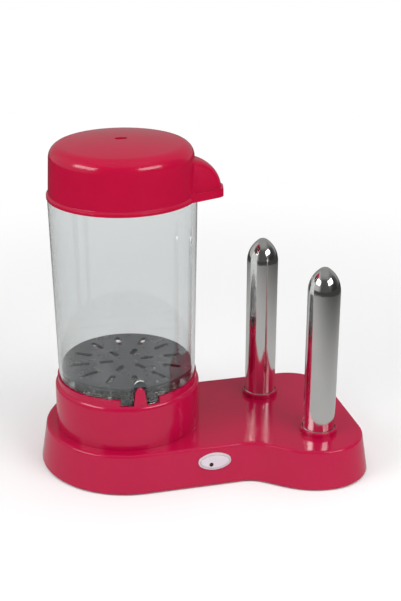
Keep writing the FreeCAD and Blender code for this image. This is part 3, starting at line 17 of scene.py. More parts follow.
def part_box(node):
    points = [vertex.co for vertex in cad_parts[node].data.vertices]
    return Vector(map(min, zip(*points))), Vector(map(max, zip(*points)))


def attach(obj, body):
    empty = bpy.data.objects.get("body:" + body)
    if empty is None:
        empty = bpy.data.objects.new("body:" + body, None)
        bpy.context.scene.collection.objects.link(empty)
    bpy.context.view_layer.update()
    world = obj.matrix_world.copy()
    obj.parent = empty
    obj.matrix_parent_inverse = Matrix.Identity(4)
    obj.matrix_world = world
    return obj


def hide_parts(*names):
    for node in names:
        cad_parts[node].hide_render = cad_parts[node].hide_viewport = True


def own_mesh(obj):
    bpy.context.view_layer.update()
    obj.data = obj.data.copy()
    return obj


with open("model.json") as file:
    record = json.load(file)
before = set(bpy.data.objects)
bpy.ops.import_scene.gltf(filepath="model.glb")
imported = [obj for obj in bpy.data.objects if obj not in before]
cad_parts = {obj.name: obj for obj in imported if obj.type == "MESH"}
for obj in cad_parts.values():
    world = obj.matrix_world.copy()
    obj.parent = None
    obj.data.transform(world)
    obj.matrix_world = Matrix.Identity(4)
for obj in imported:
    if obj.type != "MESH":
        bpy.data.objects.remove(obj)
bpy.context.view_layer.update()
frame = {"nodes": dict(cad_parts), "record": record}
MM = 0.001

# %% [markdown]
# ## Camera
# A product picture is taken from a little above, with a long lens, so that
# the upright lines stay upright. One could fit the camera by eye; here its
# place and tilt are known numbers, because the view must be repeatable.

# %% Camera
LOOKING_DOWN = 22.27
TURNED_RIGHT = 14.0

lens = bpy.data.cameras.new("product_lens")
lens.lens = 68.9
lens.sensor_width = 36.0
lens.clip_start = 0.05
camera = bpy.data.objects.new("product_camera", lens)
camera.location = (-0.1522, -0.8667, 0.5003)
camera.rotation_euler = (math.radians(90 - LOOKING_DOWN), 0.0, math.radians(-TURNED_RIGHT))
bpy.context.scene.collection.objects.link(camera)
bpy.context.scene.camera = camera
bpy.context.scene.view_settings.view_transform = "Standard"
print("camera at", tuple(camera.location))

# %% [markdown]
# ## One helper for every node
# Materials, the world and Geometry Nodes are all trees of nodes. One short
# function adds a node, sets its options and fills its inputs: a socket is
# linked, anything else is written in as a value.

# %% The helper and the colour rule
def add(tree, kind, inputs=None, **options):
    node = tree.nodes.new(kind)
    for option, value in options.items():
        setattr(node, option, value)
    for socket, value in (inputs or {}).items():
        if isinstance(value, bpy.types.NodeSocket):
            tree.links.new(value, node.inputs[socket])
        else:
            node.inputs[socket].default_value = value
    return node


def colour(code):
    """An sRGB hex code as the linear colour that Blender works in."""
    values = [int(code[start:start + 2], 16) / 255 for start in (1, 3, 5)]
    linear = [v / 12.92 if v <= 0.04045 else ((v + 0.055) / 1.055) ** 2.4 for v in values]
    return (*linear, 1.0)


print("middle grey is", round(colour("#808080")[0], 3))

# %% [markdown]
# ## Floor
# The appliance stands on a wide white sheet. Close to it the sheet takes the
# light and the shadow as any matt paper does; further out it fades to plain
# white, so that the picture has no horizon. In the gloss it is a pool of
# light that dies away, because a studio lights only the table.

# %% Floor
WHITE = (1.0, 1.0, 1.0, 1.0)
SHEET_HALF = 3.0
SHEET_MIDDLE = (0.06, 0.0, 0.0)
# metres from the middle, where the fade and the pool begin and end
FADE_FROM, FADE_TO = 0.22, 0.75
POOL_FROM, POOL_TO = 0.20, 0.60
POOL_LIGHT, FAR_LIGHT = 0.46, 0.05


def begin(name):
    """A material with an empty tree, and the piece's own coordinates in metres."""
    material = bpy.data.materials.new(name)
    material.use_nodes = True
    tree = material.node_tree
    tree.nodes.clear()
    return material, tree, add(tree, "ShaderNodeTexCoord").outputs["Object"]


def white_paper():
    paper, tree, place = begin("matt_white_paper")
    centred = add(tree, "ShaderNodeVectorMath", {0: place, 1: SHEET_MIDDLE}, operation="SUBTRACT")
    far = add(tree, "ShaderNodeVectorMath", {0: centred.outputs[0]}, operation="LENGTH")
    fade = add(tree, "ShaderNodeMapRange", {
        "Value": far.outputs["Value"], "From Min": FADE_FROM, "From Max": FADE_TO},
        interpolation_type="SMOOTHSTEP")
    path = add(tree, "ShaderNodeLightPath").outputs
    seen = add(tree, "ShaderNodeMath", {
        0: path["Is Camera Ray"], 1: path["Is Transmission Ray"]}, operation="MAXIMUM")
    part = add(tree, "ShaderNodeMath", {
        0: fade.outputs[0], 1: seen.outputs[0]}, operation="MULTIPLY")
    matt = add(tree, "ShaderNodeBsdfDiffuse", {"Color": colour("#F8F8F8")})
    plain = add(tree, "ShaderNodeEmission", {"Color": WHITE, "Strength": 1.0})
    direct = add(tree, "ShaderNodeMixShader", {
        0: part.outputs[0], 1: matt.outputs[0], 2: plain.outputs[0]})
    pool = add(tree, "ShaderNodeMapRange", {
        "Value": far.outputs["Value"], "From Min": POOL_FROM, "From Max": POOL_TO,
        "To Min": POOL_LIGHT, "To Max": FAR_LIGHT}, interpolation_type="SMOOTHSTEP")
    lit = add(tree, "ShaderNodeEmission", {"Color": WHITE, "Strength": pool.outputs[0]})
    # a ray bent through the clear tube counts as glossy too, but looks like a direct view
    mirrored = add(tree, "ShaderNodeMath", {
        0: path["Is Glossy Ray"], 1: path["Is Transmission Ray"]}, operation="GREATER_THAN")
    both = add(tree, "ShaderNodeMixShader", {
        0: mirrored.outputs[0], 1: direct.outputs[0], 2: lit.outputs[0]})
    add(tree, "ShaderNodeOutputMaterial", {"Surface": both.outputs[0]})
    return paper


def make_floor(half):
    mesh = bpy.data.meshes.new("paper_sweep")
    corners = [(-half, -half, 0), (half, -half, 0), (half, half, 0), (-half, half, 0)]
    mesh.from_pydata(corners, [], [(0, 1, 2, 3)])
    mesh.materials.append(white_paper())
    floor = bpy.data.objects.new("paper_sweep", mesh)
    bpy.context.scene.collection.objects.link(floor)
    return floor


print("floor:", make_floor(SHEET_HALF).name)

# %% [markdown]
# ## World and lamps
# Gloss is only as good as what it mirrors. The surround is white for the
# camera and through the clear tube. For reflections it is a dim studio: its
# back wall, left wall and ceiling are pale, its front is nearly black, and a
# dark screen on the right leaves deep red there.

# %% World
world = bpy.data.worlds.new("pale_studio")
world.use_nodes = True
bpy.context.scene.world = world
tree = world.node_tree
tree.nodes.clear()
towards = add(tree, "ShaderNodeTexCoord").outputs["Generated"]
MATT_LIGHT = 0.46


def wall_level(direction, start, end, dim, bright):
    """A level that changes softly from dim to bright towards a direction."""
    facing = add(tree, "ShaderNodeVectorMath", {0: towards, 1: direction}, operation="DOT_PRODUCT")
    return add(tree, "ShaderNodeMapRange", {
        "Value": facing.outputs["Value"], "From Min": start, "From Max": end, "To Min": dim,
        "To Max": bright}, interpolation_type="SMOOTHSTEP").outputs[0]


back_wall = wall_level((0.17, 0.95, 0.26), -0.2, 0.6, 0.08, 0.30)
left_wall = wall_level((-0.96, 0.25, 0.1), 0.35, 0.85, 0.0, 0.46)
ceiling = wall_level((0.0, 0.0, 1.0), 0.55, 0.9, 0.0, 0.30)
dark_screen = wall_level((0.93, -0.35, -0.05), 0.70, 0.84, 1.0, 0.35)
pale = back_wall
for wall in (left_wall, ceiling):
    pale = add(tree, "ShaderNodeMath", {0: pale, 1: wall}, operation="MAXIMUM").outputs[0]
mirrored = add(tree, "ShaderNodeMath", {0: pale, 1: dark_screen}, operation="MULTIPLY")
path = add(tree, "ShaderNodeLightPath").outputs
background = add(tree, "ShaderNodeMath", {
    0: path["Is Camera Ray"], 1: path["Is Transmission Ray"]}, operation="MAXIMUM")
studio = add(tree, "ShaderNodeMix", {
    "Factor": path["Is Glossy Ray"], "A": MATT_LIGHT, "B": mirrored.outputs[0]})
level = add(tree, "ShaderNodeMix", {
    "Factor": background.outputs[0], "A": studio.outputs[0], "B": 1.0})
sky = add(tree, "ShaderNodeBackground", {"Color": WHITE, "Strength": level.outputs[0]})
add(tree, "ShaderNodeOutputWorld", {"Surface": sky.outputs[0]})
print("matt surfaces get", MATT_LIGHT)

# %% [markdown]
# Each side has a strip lamp, which the gloss mirrors as a long highlight on
# the rounded edges, and a cloth, which only lights the plastic. One large box
# could do both, but its highlight would be as broad as the box. The cloth
# overhead fills in the top.

# %% Lamps
AIM = Vector((0.03, 0.0, 0.13))
SIDE_DISTANCE = 1.5
STRIP_POWER = 6.4


def soft_box(name, bearing, height, distance, size, power, mirrored=True):
    """A lamp aimed at the appliance; the bearing is in degrees from the front."""
    lamp = bpy.data.lights.new(name, "AREA")
    lamp.shape = "RECTANGLE"
    lamp.size, lamp.size_y = size
    lamp.energy = power
    box = bpy.data.objects.new(name, lamp)
    flat, up = math.radians(bearing), math.radians(height)
    out = Vector((math.sin(flat) * math.cos(up), -math.cos(flat) * math.cos(up), math.sin(up)))
    box.location = AIM + out * distance
    box.rotation_euler = out.to_track_quat("Z", "Y").to_euler()
    box.visible_glossy = mirrored
    bpy.context.scene.collection.objects.link(box)


for side, bearing, power in (("left", -73, 7.6), ("right", 36, 8.2)):
    soft_box(f"{side}_strip", bearing, 31, SIDE_DISTANCE, (0.90, 0.42), STRIP_POWER)
    soft_box(f"{side}_cloth", bearing, 36, SIDE_DISTANCE, (0.90, 0.60), power - STRIP_POWER,
             mirrored=False)
soft_box("overhead_cloth", 10, 80, 1.8, (1.6, 1.6), 13.0, mirrored=False)

# %% [markdown]
# ## Red plastic
# The base and the lid are injection-moulded ABS, pigmented raspberry red. A
# polished mould leaves a glossy skin with a very slight waviness, called
# orange peel, and hands leave duller patches. A flat colour would look like
# paint on a screen; waviness and patches make the mirror image swim a little.

# %% Glossy moulded ABS
ABS_IOR = 1.53


def coated(material, inputs, inside=None):
    """The material with its shader, and with what is inside it if light goes through."""
    tree = material.node_tree
    ends = {"Surface": add(tree, "ShaderNodeBsdfPrincipled", inputs).outputs[0]}
    if inside:
        ends["Volume"] = inside
    add(tree, "ShaderNodeOutputMaterial", ends)
    return material


def moulded_abs(name, light, deep, shine, rubbed, edge):
    """Glossy plastic whose edges look rounded over the edge radius."""
    material, tree, place = begin(name)
    patches = add(tree, "ShaderNodeTexNoise", {
        "Vector": place, "Scale": 1 / (55 * MM), "Detail": 4.0, "Roughness": 0.55})
    tint = add(tree, "ShaderNodeMix", {
        "Factor": patches.outputs["Fac"], "A": colour(deep), "B": colour(light)}, data_type="RGBA")
    gloss = add(tree, "ShaderNodeMapRange", {
        "Value": patches.outputs["Fac"], "From Min": 0.35, "From Max": 0.7, "To Min": shine,
        "To Max": rubbed})
    # orange peel: waves about 3 mm long and a few microns high
    peel = add(tree, "ShaderNodeTexNoise", {"Vector": place, "Scale": 1 / (3 * MM), "Detail": 1.0})
    soft_edge = add(tree, "ShaderNodeBevel", {"Radius": edge}, samples=4)
    bump = add(tree, "ShaderNodeBump", {
        "Height": peel.outputs["Fac"], "Distance": 0.03 * MM, "Strength": 0.5,
        "Normal": soft_edge.outputs[0]})
    return coated(material, {
        "Base Color": tint.outputs["Result"], "Roughness": gloss.outputs[0],
        "Normal": bump.outputs[0], "IOR": ABS_IOR})


red_abs = moulded_abs("glossy_raspberry_abs", "#BC0A42", "#AE083A", 0.12, 0.2, 0.35 * MM)
red_lid = moulded_abs("glossy_raspberry_abs_lid", "#BE083B", "#AC0632", 0.1, 0.17, 0.5 * MM)
print("plastic:", red_abs.name, red_lid.name)

# %% [markdown]
# ## Spark-eroded plastic
# The cover under the appliance is the same plastic from a mould that was
# spark-eroded, so it has a fine matt grain. Real grain is near 0.2 mm, too
# fine to see from here, so it is drawn as 0.6 mm. The black parts inside are
# moulded nylon, which is duller still.

# %% Spark-eroded ABS
def eroded_abs(name, code, grain, rough):
    material, tree, place = begin(name)
    pits = add(tree, "ShaderNodeTexNoise", {
        "Vector": place, "Scale": 1 / (grain * MM), "Detail": 2.0})
    bump = add(tree, "ShaderNodeBump", {
        "Height": pits.outputs["Fac"], "Distance": 0.06 * MM, "Strength": 0.8})
    spread = add(tree, "ShaderNodeMapRange", {
        "Value": pits.outputs["Fac"], "To Min": rough - 0.08, "To Max": rough + 0.08})
    return coated(material, {
        "Base Color": colour(code), "Roughness": spread.outputs[0], "Normal": bump.outputs[0],
        "IOR": ABS_IOR})


red_cover = eroded_abs("spark_eroded_raspberry_abs", "#A80F30", 0.6, 0.48)
black_nylon = eroded_abs("moulded_black_nylon", "#17171A", 0.8, 0.42)
switch_nylon = eroded_abs("glass_filled_black_nylon", "#1D1D20", 0.5, 0.5)
print("eroded:", red_cover.name, black_nylon.name, switch_nylon.name)

# %% [markdown]
# ## Clear and smoky plastic
# The tube is clear SAN, a hard glassy plastic: it bends light a little more
# than window glass does, and washing leaves it with fine upright scratches
# and a haze. Real walls give the true double edge lines, so the shader only
# needs clear transmission, and an absorption inside the wall greys the
# edges, where light goes a long way through it. The steam tray inside is
# a clear plastic as well, dyed smoke blue and filmed over by hard water.

# %% Clear SAN and smoky tray
SAN_IOR = 1.57
SAN_DENSITY = 26.0


def clear_san(name, code, dull, ior, density):
    """A clear plastic or glass; density is how much light a metre of it takes."""
    material, tree, place = begin(name)
    stretched = add(tree, "ShaderNodeMapping", {"Vector": place, "Scale": (1.0, 1.0, 0.03)})
    scratches = add(tree, "ShaderNodeTexNoise", {
        "Vector": stretched.outputs[0], "Scale": 1 / (0.8 * MM), "Detail": 3.0})
    haze = add(tree, "ShaderNodeMapRange", {
        "Value": scratches.outputs["Fac"], "From Min": 0.45, "From Max": 0.75, "To Min": dull,
        "To Max": dull + 0.05})
    wall = add(tree, "ShaderNodeVolumeAbsorption", {
        "Color": (0.0, 0.0, 0.0, 1.0), "Density": density})
    return coated(material, {
        "Base Color": colour(code), "Roughness": haze.outputs[0], "Transmission Weight": 1.0,
        "IOR": ior}, inside=wall.outputs[0])


def smoky_tray(name):
    material, tree, place = begin(name)
    film = add(tree, "ShaderNodeTexNoise", {"Vector": place, "Scale": 1 / (9 * MM), "Detail": 5.0})
    tint = add(tree, "ShaderNodeMix", {
        "Factor": film.outputs["Fac"], "A": colour("#22262B"), "B": colour("#373C44")},
        data_type="RGBA")
    gloss = add(tree, "ShaderNodeMapRange", {
        "Value": film.outputs["Fac"], "To Min": 0.18, "To Max": 0.42})
    return coated(material, {
        "Base Color": tint.outputs["Result"], "Roughness": gloss.outputs[0],
        "Transmission Weight": 0.15, "IOR": 1.49})


clear_tube = clear_san("clear_san_tube", "#F2F4F4", 0.0, SAN_IOR, SAN_DENSITY)
bulb_glass = clear_san("neon_bulb_glass", "#FFE6D0", 0.0, 1.5, 0.0)
smoke_tray = smoky_tray("smoke_blue_steam_tray")
print("clear:", clear_tube.name, bulb_glass.name, "tray:", smoke_tray.name)

# %% [markdown]
# ## Metals
# Each metal part keeps the marks of how it was made. The spikes are drawn
# and polished, with faint lines along them; sheet parts show rolling lines;
# screws are zinc plated; the sheath of the heater has browned. The line
# direction comes from squeezing one axis of the pattern.

# %% Drawn, rolled and plated metal
def worked_metal(name, light, deep, squeeze, line, shine, rubbed, depth):
    """Metal with lines 'line' mm wide, drawn out along the squeezed axis."""
    material, tree, place = begin(name)
    drawn = add(tree, "ShaderNodeMapping", {"Vector": place, "Scale": squeeze})
    lines = add(tree, "ShaderNodeTexNoise", {
        "Vector": drawn.outputs[0], "Scale": 1 / (line * MM), "Detail": 3.0, "Roughness": 0.6})
    cloud = add(tree, "ShaderNodeTexNoise", {
        "Vector": place, "Scale": 1 / (14 * MM), "Detail": 3.0})
    tint = add(tree, "ShaderNodeMix", {
        "Factor": cloud.outputs["Fac"], "A": colour(deep), "B": colour(light)}, data_type="RGBA")
    both = add(tree, "ShaderNodeMath", {
        0: lines.outputs["Fac"], 1: cloud.outputs["Fac"]}, operation="MULTIPLY")
    gloss = add(tree, "ShaderNodeMapRange", {
        "Value": both.outputs[0], "From Min": 0.1, "From Max": 0.45, "To Min": shine,
        "To Max": rubbed})
    bump = add(tree, "ShaderNodeBump", {
        "Height": lines.outputs["Fac"], "Distance": depth * MM, "Strength": 0.5})
    return coated(material, {
        "Base Color": tint.outputs["Result"], "Roughness": gloss.outputs[0],
        "Normal": bump.outputs[0], "Metallic": 1.0})


EVEN = (1.0, 1.0, 1.0)
ALONG_Z = (1.0, 1.0, 0.02)
ALONG_X = (0.03, 1.0, 1.0)
spike_steel = worked_metal("polished_drawn_steel", "#F2F1EE", "#E6E5E2",
                           ALONG_Z, 0.5, 0.07, 0.16, 0.003)
sheet_steel = worked_metal("rolled_sheet_steel", "#B9B9B8", "#A3A3A2",
                           ALONG_X, 0.4, 0.28, 0.42, 0.01)
zinc_plate = worked_metal("zinc_plated_steel", "#CDD0D2", "#B5B7B4", EVEN, 0.7, 0.24, 0.4, 0.01)
pressed_aluminium = worked_metal("pressed_aluminium", "#DADBDC", "#C6C8C9",
                                 ALONG_X, 0.6, 0.3, 0.45, 0.01)
spring_wire = worked_metal("drawn_spring_wire", "#A9A9AA", "#8D8D8F",
                           EVEN, 0.3, 0.25, 0.4, 0.004)
dark_sheath = worked_metal("heat_darkened_sheath", "#6E655C", "#46403C",
                           EVEN, 1.5, 0.38, 0.55, 0.02)
resistance_alloy = worked_metal("oxidised_resistance_alloy", "#6B5E56", "#4A4140",
                                EVEN, 0.5, 0.4, 0.6, 0.004)
print("metals:", spike_steel.name, sheet_steel.name, zinc_plate.name, pressed_aluminium.name,
      spring_wire.name, dark_sheath.name, resistance_alloy.name)

# %% [markdown]
# ## Thermostat
# The limiter has tinned blades at the bottom, a black phenolic can in the
# middle and an aluminium cap on top. It is one solid, so its material changes
# with height. Colour ramps that jump, not blend, give a clean joint line.

# %% Thermostat in three materials
# the can and the cap start at these shares of the thermostat's height
CAN_BOTTOM = 0.32
CAP_BOTTOM = 0.765
# blades, can and cap; a grey code stands for a metallic or a roughness, once it is linear
ZONES = {"Base Color": ["#C9C2AE", "#1E1A18", "#D4D5D6"],
         "Metallic": ["#FFFFFF", "#000000", "#FFFFFF"],
         "Roughness": ["#4D4D4D", "#808080", "#5A5A5A"]}


def banded_thermostat(name, low, high):
    material, tree, place = begin(name)
    height = add(tree, "ShaderNodeSeparateXYZ", {"Vector": place}).outputs["Z"]
    level = add(tree, "ShaderNodeMapRange", {"Value": height, "From Min": low, "From Max": high})
    grain = add(tree, "ShaderNodeTexNoise", {
        "Vector": place, "Scale": 1 / (1.2 * MM), "Detail": 3.0})
    bump = add(tree, "ShaderNodeBump", {
        "Height": grain.outputs["Fac"], "Distance": 0.02 * MM, "Strength": 0.5})
    inputs = {"Normal": bump.outputs[0]}
    for socket, codes in ZONES.items():
        ramp = add(tree, "ShaderNodeValToRGB", {"Fac": level.outputs[0]})
        stops = ramp.color_ramp.elements
        ramp.color_ramp.interpolation = "CONSTANT"
        stops.new(CAN_BOTTOM)
        for stop, start, code in zip(stops, (0.0, CAN_BOTTOM, CAP_BOTTOM), codes):
            stop.position = start
            stop.color = colour(code)
        inputs[socket] = ramp.outputs["Color"]
    return coated(material, inputs)


limiter_low, limiter_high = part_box("thermostat")
limiter = banded_thermostat("banded_thermostat", limiter_low.z, limiter_high.z)
print("thermostat from", round(limiter_low.z / MM, 1), "to", round(limiter_high.z / MM, 1), "mm")

# %% [markdown]
# ## Boiler bowl
# The bowl is stainless steel, spun on a lathe, so its lines are rings about
# its axis. Water that dries in it leaves chalk, more at the bottom, and only
# on the side that gets wet. That side faces up or towards the axis, so the
# surface's own direction tells it from the outside of the bowl.

# %% Spun bowl with chalk
def spun_bowl(name, low, high):
    material, tree, place = begin(name)
    facing = add(tree, "ShaderNodeTexCoord").outputs["Normal"]
    height = add(tree, "ShaderNodeSeparateXYZ", {"Vector": place}).outputs["Z"]
    level_only = add(tree, "ShaderNodeVectorMath", {
        0: place, 1: (1.0, 1.0, 0.0)}, operation="MULTIPLY").outputs[0]
    radius = add(tree, "ShaderNodeVectorMath", {0: level_only}, operation="LENGTH")
    ring_place = add(tree, "ShaderNodeCombineXYZ", {"X": radius.outputs["Value"], "Y": height})
    rings = add(tree, "ShaderNodeTexNoise", {
        "Vector": ring_place.outputs[0], "Scale": 1 / (0.9 * MM), "Detail": 2.0})
    bump = add(tree, "ShaderNodeBump", {
        "Height": rings.outputs["Fac"], "Distance": 0.02 * MM, "Strength": 0.5})
    spots = add(tree, "ShaderNodeTexNoise", {
        "Vector": place, "Scale": 1 / (4 * MM), "Detail": 6.0})
    most = add(tree, "ShaderNodeMapRange", {
        "Value": height, "From Min": low, "From Max": high, "To Min": 0.62, "To Max": 0.3})
    outward = add(tree, "ShaderNodeVectorMath", {0: level_only}, operation="NORMALIZE")
    into_bowl = add(tree, "ShaderNodeVectorMath", {
        0: (0.0, 0.0, 1.0), 1: outward.outputs[0]}, operation="SUBTRACT")
    wet_side = add(tree, "ShaderNodeVectorMath", {
        0: facing, 1: into_bowl.outputs[0]}, operation="DOT_PRODUCT")
    wetted = add(tree, "ShaderNodeMapRange", {
        "Value": wet_side.outputs["Value"], "From Min": 0.0, "From Max": 0.3,
        "To Max": most.outputs[0]})
    chalk = add(tree, "ShaderNodeMath", {
        0: spots.outputs["Fac"], 1: wetted.outputs[0]}, operation="MULTIPLY")
    mask = add(tree, "ShaderNodeMapRange", {
        "Value": chalk.outputs[0], "From Min": 0.3, "From Max": 0.4}).outputs[0]
    tint = add(tree, "ShaderNodeMix", {
        "Factor": mask, "A": colour("#BFBFBD"), "B": colour("#D8D4CC")}, data_type="RGBA")
    metal = add(tree, "ShaderNodeMapRange", {"Value": mask, "To Min": 1.0, "To Max": 0.25})
    gloss = add(tree, "ShaderNodeMapRange", {"Value": mask, "To Min": 0.22, "To Max": 0.7})
    return coated(material, {
        "Base Color": tint.outputs["Result"], "Metallic": metal.outputs[0],
        "Roughness": gloss.outputs[0], "Normal": bump.outputs[0]})


bowl_low, bowl_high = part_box("boiler_bowl")
bowl_steel = spun_bowl("spun_stainless_bowl", bowl_low.z, bowl_high.z)
print("bowl from", round(bowl_low.z / MM, 1), "to", round(bowl_high.z / MM, 1), "mm")

# %% [markdown]
# ## Rubber, silicone and ceramic
# These are soft-looking because light enters them or their skin is rough.
# Rubber is dark with a dusty bloom, silicone is milky and lets light in, and
# steatite ceramic is cream with tiny specks from pressing.

# %% Matt, milky and fired materials
LIGHT_REACH = 1.5 * MM


def dusty(name, light, deep, grain, rough, milk=0.0):
    """A matt skin with specks; milk is how much of the light goes into it."""
    material, tree, place = begin(name)
    specks = add(tree, "ShaderNodeTexNoise", {
        "Vector": place, "Scale": 1 / (grain * MM), "Detail": 4.0, "Roughness": 0.65})
    tint = add(tree, "ShaderNodeMix", {
        "Factor": specks.outputs["Fac"], "A": colour(deep), "B": colour(light)}, data_type="RGBA")
    bump = add(tree, "ShaderNodeBump", {
        "Height": specks.outputs["Fac"], "Distance": 0.05 * MM, "Strength": 0.5})
    spread = add(tree, "ShaderNodeMapRange", {
        "Value": specks.outputs["Fac"], "To Min": rough - 0.1, "To Max": rough + 0.1})
    return coated(material, {
        "Base Color": tint.outputs["Result"], "Roughness": spread.outputs[0],
        "Normal": bump.outputs[0], "Subsurface Weight": milk, "Subsurface Scale": LIGHT_REACH})


foot_rubber = dusty("dusty_black_rubber", "#2C2C2D", "#141415", 1.2, 0.78)
milky_silicone = dusty("milky_silicone", "#DEDACF", "#CFC9BB", 3.0, 0.45, milk=0.4)
steatite = dusty("pressed_steatite", "#EFE9DA", "#DDD4C0", 0.9, 0.55, milk=0.1)
cordierite = dusty("fired_cordierite", "#DCCDB2", "#C7B491", 1.1, 0.75)
print("matt:", foot_rubber.name, milky_silicone.name, steatite.name, cordierite.name)

# %% [markdown]
# ## Woven sleeves
# Leads near a heater wear a silicone skin over glass braid, and the fuse has
# a bare braided sleeve. A braid is two sets of ribs that cross; two waves at
# opposite slants, the taller of which wins, give that relief.

# %% Braided sleeve
# real ribs are near 0.5 mm; these are drawn 3.1 mm apart, so that they show
RIB_SPACING = math.pi * MM
# the length of one wave of the texture at a scale of 1
WAVE_LENGTH = 2 * math.pi / 20


def braided(name, light, deep):
    material, tree, place = begin(name)
    heights = []
    for slant in (1.0, -1.0):
        leaning = add(tree, "ShaderNodeMapping", {
            "Vector": place, "Rotation": (0.9, 0.7 * slant, slant)})
        wave = add(tree, "ShaderNodeTexWave", {
            "Vector": leaning.outputs[0], "Scale": WAVE_LENGTH / RIB_SPACING, "Distortion": 0.3})
        heights.append(wave.outputs["Fac"])
    ribs = add(tree, "ShaderNodeMath", {0: heights[0], 1: heights[1]}, operation="MAXIMUM")
    bump = add(tree, "ShaderNodeBump", {"Height": ribs.outputs[0], "Distance": 0.1 * MM})
    tint = add(tree, "ShaderNodeMix", {
        "Factor": ribs.outputs[0], "A": colour(deep), "B": colour(light)}, data_type="RGBA")
    return coated(material, {
        "Base Color": tint.outputs["Result"], "Roughness": 0.6, "Normal": bump.outputs[0]})


lead_sleeve = braided("silicone_over_braid", "#D9552F", "#B8401F")
fuse_sleeve = braided("glass_braid_sleeve", "#EDEAE0", "#C9C4B4")
print("sleeves:", lead_sleeve.name, fuse_sleeve.name)

# %% [markdown]
# ## Button plastics
# The oval button is white ABS whose faint lilac tint is a painted reflection of
# the red housing around it, and its small lamp window is a dark amber lens. A
# thin coat gives the white plastic its clear top layer.

# %% White cap with a painted reflection, and amber lens
def white_abs_painted_reflection(name, light, deep):
    material, tree, place = begin(name)
    flow = add(tree, "ShaderNodeTexNoise", {"Vector": place, "Scale": 1 / (6 * MM), "Detail": 3.0})
    flakes = add(tree, "ShaderNodeTexVoronoi", {"Vector": place, "Scale": 1 / (0.4 * MM)})
    tint = add(tree, "ShaderNodeMix", {
        "Factor": flow.outputs["Fac"], "A": colour(deep), "B": colour(light)}, data_type="RGBA")
    gloss = add(tree, "ShaderNodeMapRange", {
        "Value": flakes.outputs["Distance"], "To Min": 0.28, "To Max": 0.4})
    return coated(material, {
        "Base Color": tint.outputs["Result"], "Roughness": gloss.outputs[0], "Coat Weight": 0.3,
        "Coat Roughness": 0.1, "IOR": ABS_IOR})


def amber_lens(name):
    material, tree, place = begin(name)
    ripple = add(tree, "ShaderNodeTexNoise", {"Vector": place, "Scale": 1 / (0.8 * MM)})
    bump = add(tree, "ShaderNodeBump", {
        "Height": ripple.outputs["Fac"], "Distance": 0.05 * MM, "Strength": 0.4})
    return coated(material, {
        "Base Color": colour("#3A1416"), "Roughness": 0.2, "Transmission Weight": 0.2,
        "Normal": bump.outputs[0], "IOR": 1.49})


# the faint lilac in these white codes is a painted reflection of the red housing
white_cap_painted_reflection = white_abs_painted_reflection("white_abs_with_painted_reflection", "#DED1D9", "#CFC2CC")
white_ring_painted_reflection = white_abs_painted_reflection("white_abs_with_painted_reflection_ring", "#D9CCD4", "#CABDC7")
dark_lens = amber_lens("dark_amber_lens")
print("button:", white_cap_painted_reflection.name, white_ring_painted_reflection.name, dark_lens.name)

# %% [markdown]
# ## Dressing the CAD solids
# Every solid whose shape is right keeps its own mesh and only changes its
# material. A table of who wears what is easier to read than a line for each.

# %% Assign the finishes
FINISHES = {
    red_abs: ["upper_housing", "boiler_tower"],
    red_lid: ["lid"],
    red_cover: ["bottom_cover"],
    clear_tube: ["clear_cylinder"],
    smoke_tray: ["steam_floor"],
    spike_steel: ["spike_front", "spike_rear"],
    white_cap_painted_reflection: ["button_cap"],
    white_ring_painted_reflection: ["button_bezel"],
    dark_lens: ["lamp_lens"],
    bulb_glass: ["pilot_lamp"],
    switch_nylon: ["switch_body", "terminal_block"],
    black_nylon: ["cord_gland", "cable_clamp"],
    bowl_steel: ["boiler_bowl"],
    milky_silicone: ["boiler_seal"],
    pressed_aluminium: ["heat_plate"],
    limiter: ["thermostat"],
    dark_sheath: ["heating_element"],
    sheet_steel: ["thermostat_strap", "spike_plates"],
    zinc_plate: ["cover_screws", "spike_screws", "clamp_screws", "boiler_nuts", "strap_nuts"],
    spring_wire: ["button_spring"],
    steatite: ["spike_insulator_front", "spike_insulator_rear"],
    cordierite: ["spike_heater_front", "spike_heater_rear"],
    foot_rubber: ["rubber_feet"],
    lead_sleeve: ["boiler_leads", "spike_leads"],
    fuse_sleeve: ["thermal_fuse"],
}
dressed = 0
for material, names in FINISHES.items():
    for name in names:
        for held in frame["nodes"][name].material_slots:
            held.material = material
        dressed += 1
print("dressed", dressed, "of", len(frame["nodes"]))

# %% [markdown]
# ## Where the small parts sit
# A piece that is made again has to land exactly where its solid is. The CAD
# node holds several loose solids in one mesh, so the mesh is copied, its
# doubled points are merged, and each island is measured. One could type the
# places in, but then a change in the CAD would leave the new pieces behind.

# %% Measure the loose solids of a node
DOUBLED = 0.001 * MM


def islands(name):
    """For each loose solid of a CAD node: its middle, and its lowest and highest z."""
    solid = frame["nodes"][name]
    copy = bmesh.new()
    copy.from_mesh(solid.data)
    copy.transform(solid.matrix_world)
    bmesh.ops.remove_doubles(copy, verts=copy.verts, dist=DOUBLED)
    waiting = set(copy.verts)
    found = []
    while waiting:
        reached = [waiting.pop()]
        for vert in reached:
            for edge in vert.link_edges:
                other = edge.other_vert(vert)
                if other in waiting:
                    waiting.remove(other)
                    reached.append(other)
        low = Vector([min(vert.co[axis] for vert in reached) for axis in range(3)])
        high = Vector([max(vert.co[axis] for vert in reached) for axis in range(3)])
        found.append(((low + high) / 2, low.z, high.z))
    copy.free()
    return sorted(found, key=lambda island: tuple(island[0]))


def measured(name):
    """The full height of a node's first loose solid."""
    middle, low, high = islands(name)[0]
    return high - low


for name in ("cover_screws", "spike_screws", "clamp_screws", "boiler_nuts", "strap_nuts",
             "rubber_feet"):
    print(name, len(islands(name)), "of height", round(measured(name) / MM, 1), "mm")

# %% [markdown]
# ## Turned parts by Geometry Nodes
# Screws, nuts and feet are all turned about an axis. A lathe follows an
# outline; here a flat grid does: its columns become angles and its rows the
# points of the outline, which an Index Switch hands out as shares of a radius
# and a height. A Screw modifier could do the same, but in nodes both sizes
# stay named inputs.

